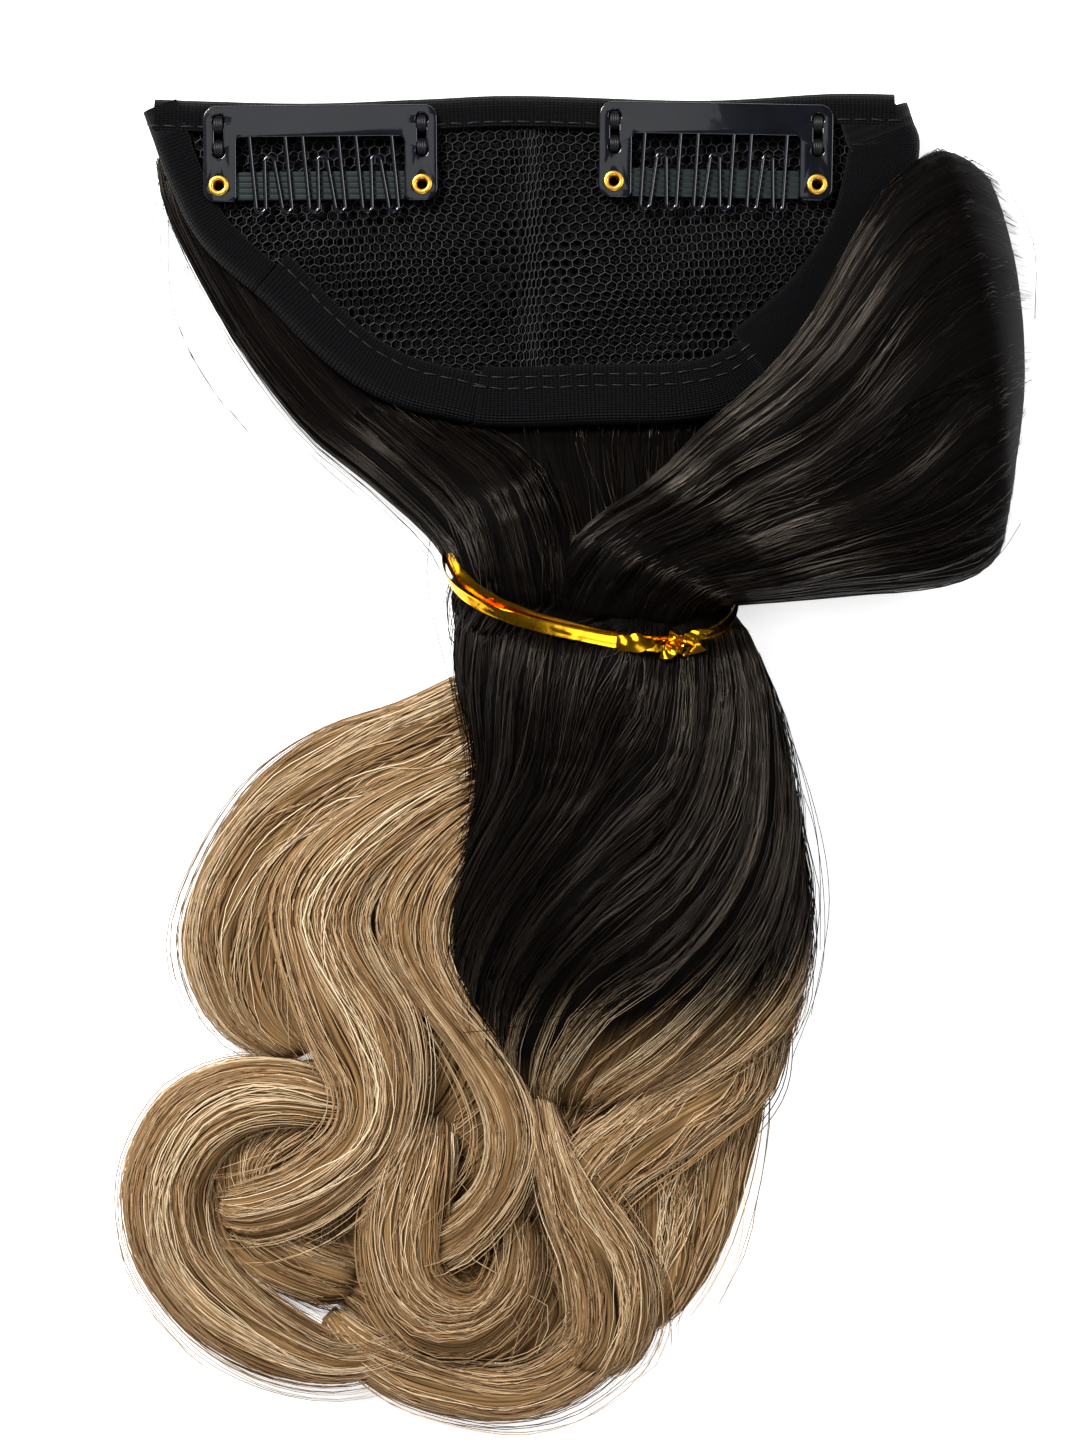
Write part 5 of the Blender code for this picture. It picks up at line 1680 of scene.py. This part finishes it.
def tie_point(angle, outset, shift):
    """A point round the neck, outset from its hair and shifted down the fall."""
    across = Vector((math.cos(TIE_TURN), math.sin(TIE_TURN), 0.0))
    down = Vector((math.sin(TIE_TURN), -math.cos(TIE_TURN), 0.0))
    side, up = rounded(angle)
    room = 0.3 * MM + outset
    middle = Vector((TIE_X, TIE_Y, NECK_HEIGHT / 2 + 0.3 * MM + TIE_FOIL))
    place = middle + across * side * (NECK_WIDTH / 2 + room)
    place += Vector((0.0, 0.0, up * (NECK_HEIGHT / 2 + room)))
    return place + down * (up * TIE_LEAN + shift)


def foil_ply(name, centre, twist, width, closed):
    """A crinkled ribbon of film along points, closed to a ring or with cut ends."""
    count = len(centre)
    section = ((-1.0, 0.0), (-0.45, 0.30), (0.0, -0.12), (0.5, 0.32), (1.0, 0.0))
    skin = 0.07 * MM
    points = []
    for i, point in enumerate(centre):
        before = centre[(i - 1) % count] if closed else centre[max(i - 1, 0)]
        after = centre[(i + 1) % count] if closed else centre[min(i + 1, count - 1)]
        along = (after - before).normalized()
        out = point - Vector((TIE_X, TIE_Y, NECK_HEIGHT / 2))
        out = (out - along * out.dot(along)).normalized()
        aside = along.cross(out)
        angle = twist(i / count)
        flat = aside * math.cos(angle) + out * math.sin(angle)
        up = out * math.cos(angle) - aside * math.sin(angle)
        crinkle = noise.noise(Vector((i * 0.24, width / MM, 2.0)))
        pinch = 1.0 + 0.22 * noise.noise(Vector((i * 0.21, 7.0, width / MM)))
        for layer in (1, -1):
            row = section if layer > 0 else section[::-1]
            for across, lift in row:
                fold = 0.18 * MM * lift * (1 + 0.8 * crinkle)
                spot = point + flat * across * width / 2 * pinch + up * (fold + layer * skin)
                spot.z = max(spot.z, FOIL_CLEARANCE)
                points.append(spot)
    mesh = welded(mesh_of(name, points, tube_faces(count, 2 * len(section), closed)))
    mesh.set_sharp_from_angle(angle=math.radians(25))
    return mesh


def foil_piece(name, plies, foil):
    """One piece of several plies of film."""
    for mesh in plies:
        mesh.materials.append(foil)
    return joined(name, plies)


def make_tie(finishes):
    """The band of two plies, and its knot of twisted ends."""
    sides = 150
    plies = []
    for number, (shift, outset) in enumerate(((-0.95, 0.22), (0.95, 0.42))):
        centre = []
        for k in range(sides):
            angle = 2 * math.pi * k / sides
            cross = math.cos(2 * angle + 0.4)
            centre.append(tie_point(angle, outset * MM, shift * MM * (0.75 + 0.45 * cross)))
        plies.append(
            foil_ply(
                "foil_ply",
                centre,
                lambda share, n=number: 0.35 * math.sin(2 * math.pi * (2 * share + n * 0.3)),
                1.85 * MM,
                True,
            )
        )
    band = foil_piece("foil_band", plies, finishes["foil"])
    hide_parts("tie_band")
    count = 60
    parts = []
    for start, sweep, turns, width, outset, shift in (
        (80.0, -36.0, 1.5, 2.4, 1.2, 0.0),
        (64.0, -14.0, 1.0, 2.1, 1.9, 0.6),
        (61.0, -20.0, -1.2, 1.8, 1.5, -0.7),
    ):
        centre = []
        for k in range(count):
            share = k / (count - 1)
            angle = math.radians(start + sweep * share)
            lift = outset + 0.25 * math.sin(9 * share + shift)
            sway = shift + 0.45 * math.sin(7.0 * share + turns)
            centre.append(tie_point(angle, lift * MM, sway * MM))
        parts.append(
            foil_ply(
                "foil_end", centre, lambda share, t=turns: math.pi * t * share, width * MM, False
            )
        )
    knot = foil_piece("foil_knot", parts, finishes["foil"])
    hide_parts("tie_knot")
    for made in (band, knot):
        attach(made, "piece")


# Light and view


def make_stage():
    """The floor, the dim room and four soft lights."""
    floor_mesh = mesh_of(
        "floor", [(-2, -2, 0), (2, -2, 0), (2, 2, 0), (-2, 2, 0)], [(0, 1, 2, 3)]
    )
    # Light table: white acrylic lit from below, which takes most shadows away
    material = new_finish(
        "lit_white_acrylic",
        {
            "Base Color": hex_colour("#f2f2f1"),
            "Roughness": 0.8,
            "Emission Color": (1.0, 1.0, 1.0, 1.0),
            "Emission Strength": 0.62,
        },
    )[0]
    floor = new_piece("floor", floor_mesh, material)
    floor.location.z = -0.02 * MM
    world = bpy.data.worlds.new("studio")
    bpy.context.scene.world = world
    world.use_nodes = True
    sky = world.node_tree.nodes["Background"]
    sky.inputs["Color"].default_value = (1.0, 1.0, 1.0, 1.0)
    sky.inputs["Strength"].default_value = 0.06
    for name, place, size, power in (
        ("soft_key", (-0.45, 0.50, 0.80), 0.28, 19.0),
        ("soft_fill", (0.60, 0.15, 0.75), 0.40, 4.0),
        ("soft_low", (0.05, -0.75, 0.60), 0.40, 2.5),
        ("soft_top", (-0.10, 0.30, 1.20), 0.30, 0.34),
    ):
        light = bpy.data.lights.new(name, "AREA")
        light.size = size
        light.energy = power
        lamp = bpy.data.objects.new(name, light)
        bpy.context.scene.collection.objects.link(lamp)
        lamp.location = place
        way = Vector((0.0, 0.0, 0.0)) - lamp.location
        lamp.rotation_euler = way.to_track_quat("-Z", "Y").to_euler()


def make_camera():
    """Straight down, with the photo's frame on the surface below."""
    data = bpy.data.cameras.new("camera")
    data.lens = LENS
    data.sensor_fit = "AUTO"
    data.sensor_width = 36.0
    data.clip_start = 0.01
    camera = bpy.data.objects.new("camera", data)
    bpy.context.scene.collection.objects.link(camera)
    camera.location = (VIEW_X, VIEW_Y, VIEW_LEVEL + VIEW_HEIGHT * LENS / 36.0)
    bpy.context.scene.camera = camera
    bpy.context.scene.view_settings.view_transform = "Standard"


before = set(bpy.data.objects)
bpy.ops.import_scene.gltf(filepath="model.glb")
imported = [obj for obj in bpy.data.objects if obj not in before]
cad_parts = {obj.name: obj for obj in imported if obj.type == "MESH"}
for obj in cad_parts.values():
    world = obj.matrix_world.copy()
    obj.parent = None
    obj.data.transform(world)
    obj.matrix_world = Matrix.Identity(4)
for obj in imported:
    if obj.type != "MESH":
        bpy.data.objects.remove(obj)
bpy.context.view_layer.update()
make_camera()
make_stage()
finishes = {
    "dark_fibre": hair_fibre(
        "dark_hair_fibre", ("#030202", "#090706", "#1b140f"), ("#5c4229", "#9f7e58", "#dcc5a0"), 0.27, 0.75
    ),
    "fair_fibre": hair_fibre(
        "fair_hair_fibre", ("#0c0806", "#221812", "#43301f"), ("#553b24", "#a07e57", "#e6d0ac"), 0.36, 0.7
    ),
    # The masses are coloured darker than the fibres, as painted shade between the strands.
    "dark_mass": hair_mass("dark_hair_mass", ("#020101", "#080605"), ("#160d06", "#866742")),
    "fair_mass": hair_mass("fair_hair_mass", ("#050302", "#1a120c"), ("#160d06", "#94734c")),
    "tape": woven_tape("grosgrain_tape", 0.55, 0.01),
    "cloth": woven_tape("plain_lining", 0.28, 0.03),
    "under_net": under_net(),
    "net": nylon_thread("nylon_net_thread", "#0b0b0c", 0.5),
    "low_net": nylon_thread("shaded_net_thread", "#040404", 0.9),
    "thread": nylon_thread("polyester_thread", "#0b0b0c", 0.5),
    "steel": lacquered_steel(),
    "silicone": silicone_grip(),
    "brass": brass(),
    "foil": gold_foil(),
}
seams = []
tapes = [make_tape(row, finishes, seams) for row in TAPES]
tubes = tube_tree()
make_net(finishes)
make_clips(tubes, finishes)
make_tie(finishes)
sewing = new_piece(
    "tape_stitches",
    grown(
        polyline("seams", seams),
        stitch_tree(),
        {"Pitch": STITCH, "Radius": SEWING_THREAD, "Seed": 3, "Finish": finishes["thread"]},
    ),
)
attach(sewing, "piece")
make_hair(tubes, finishes)
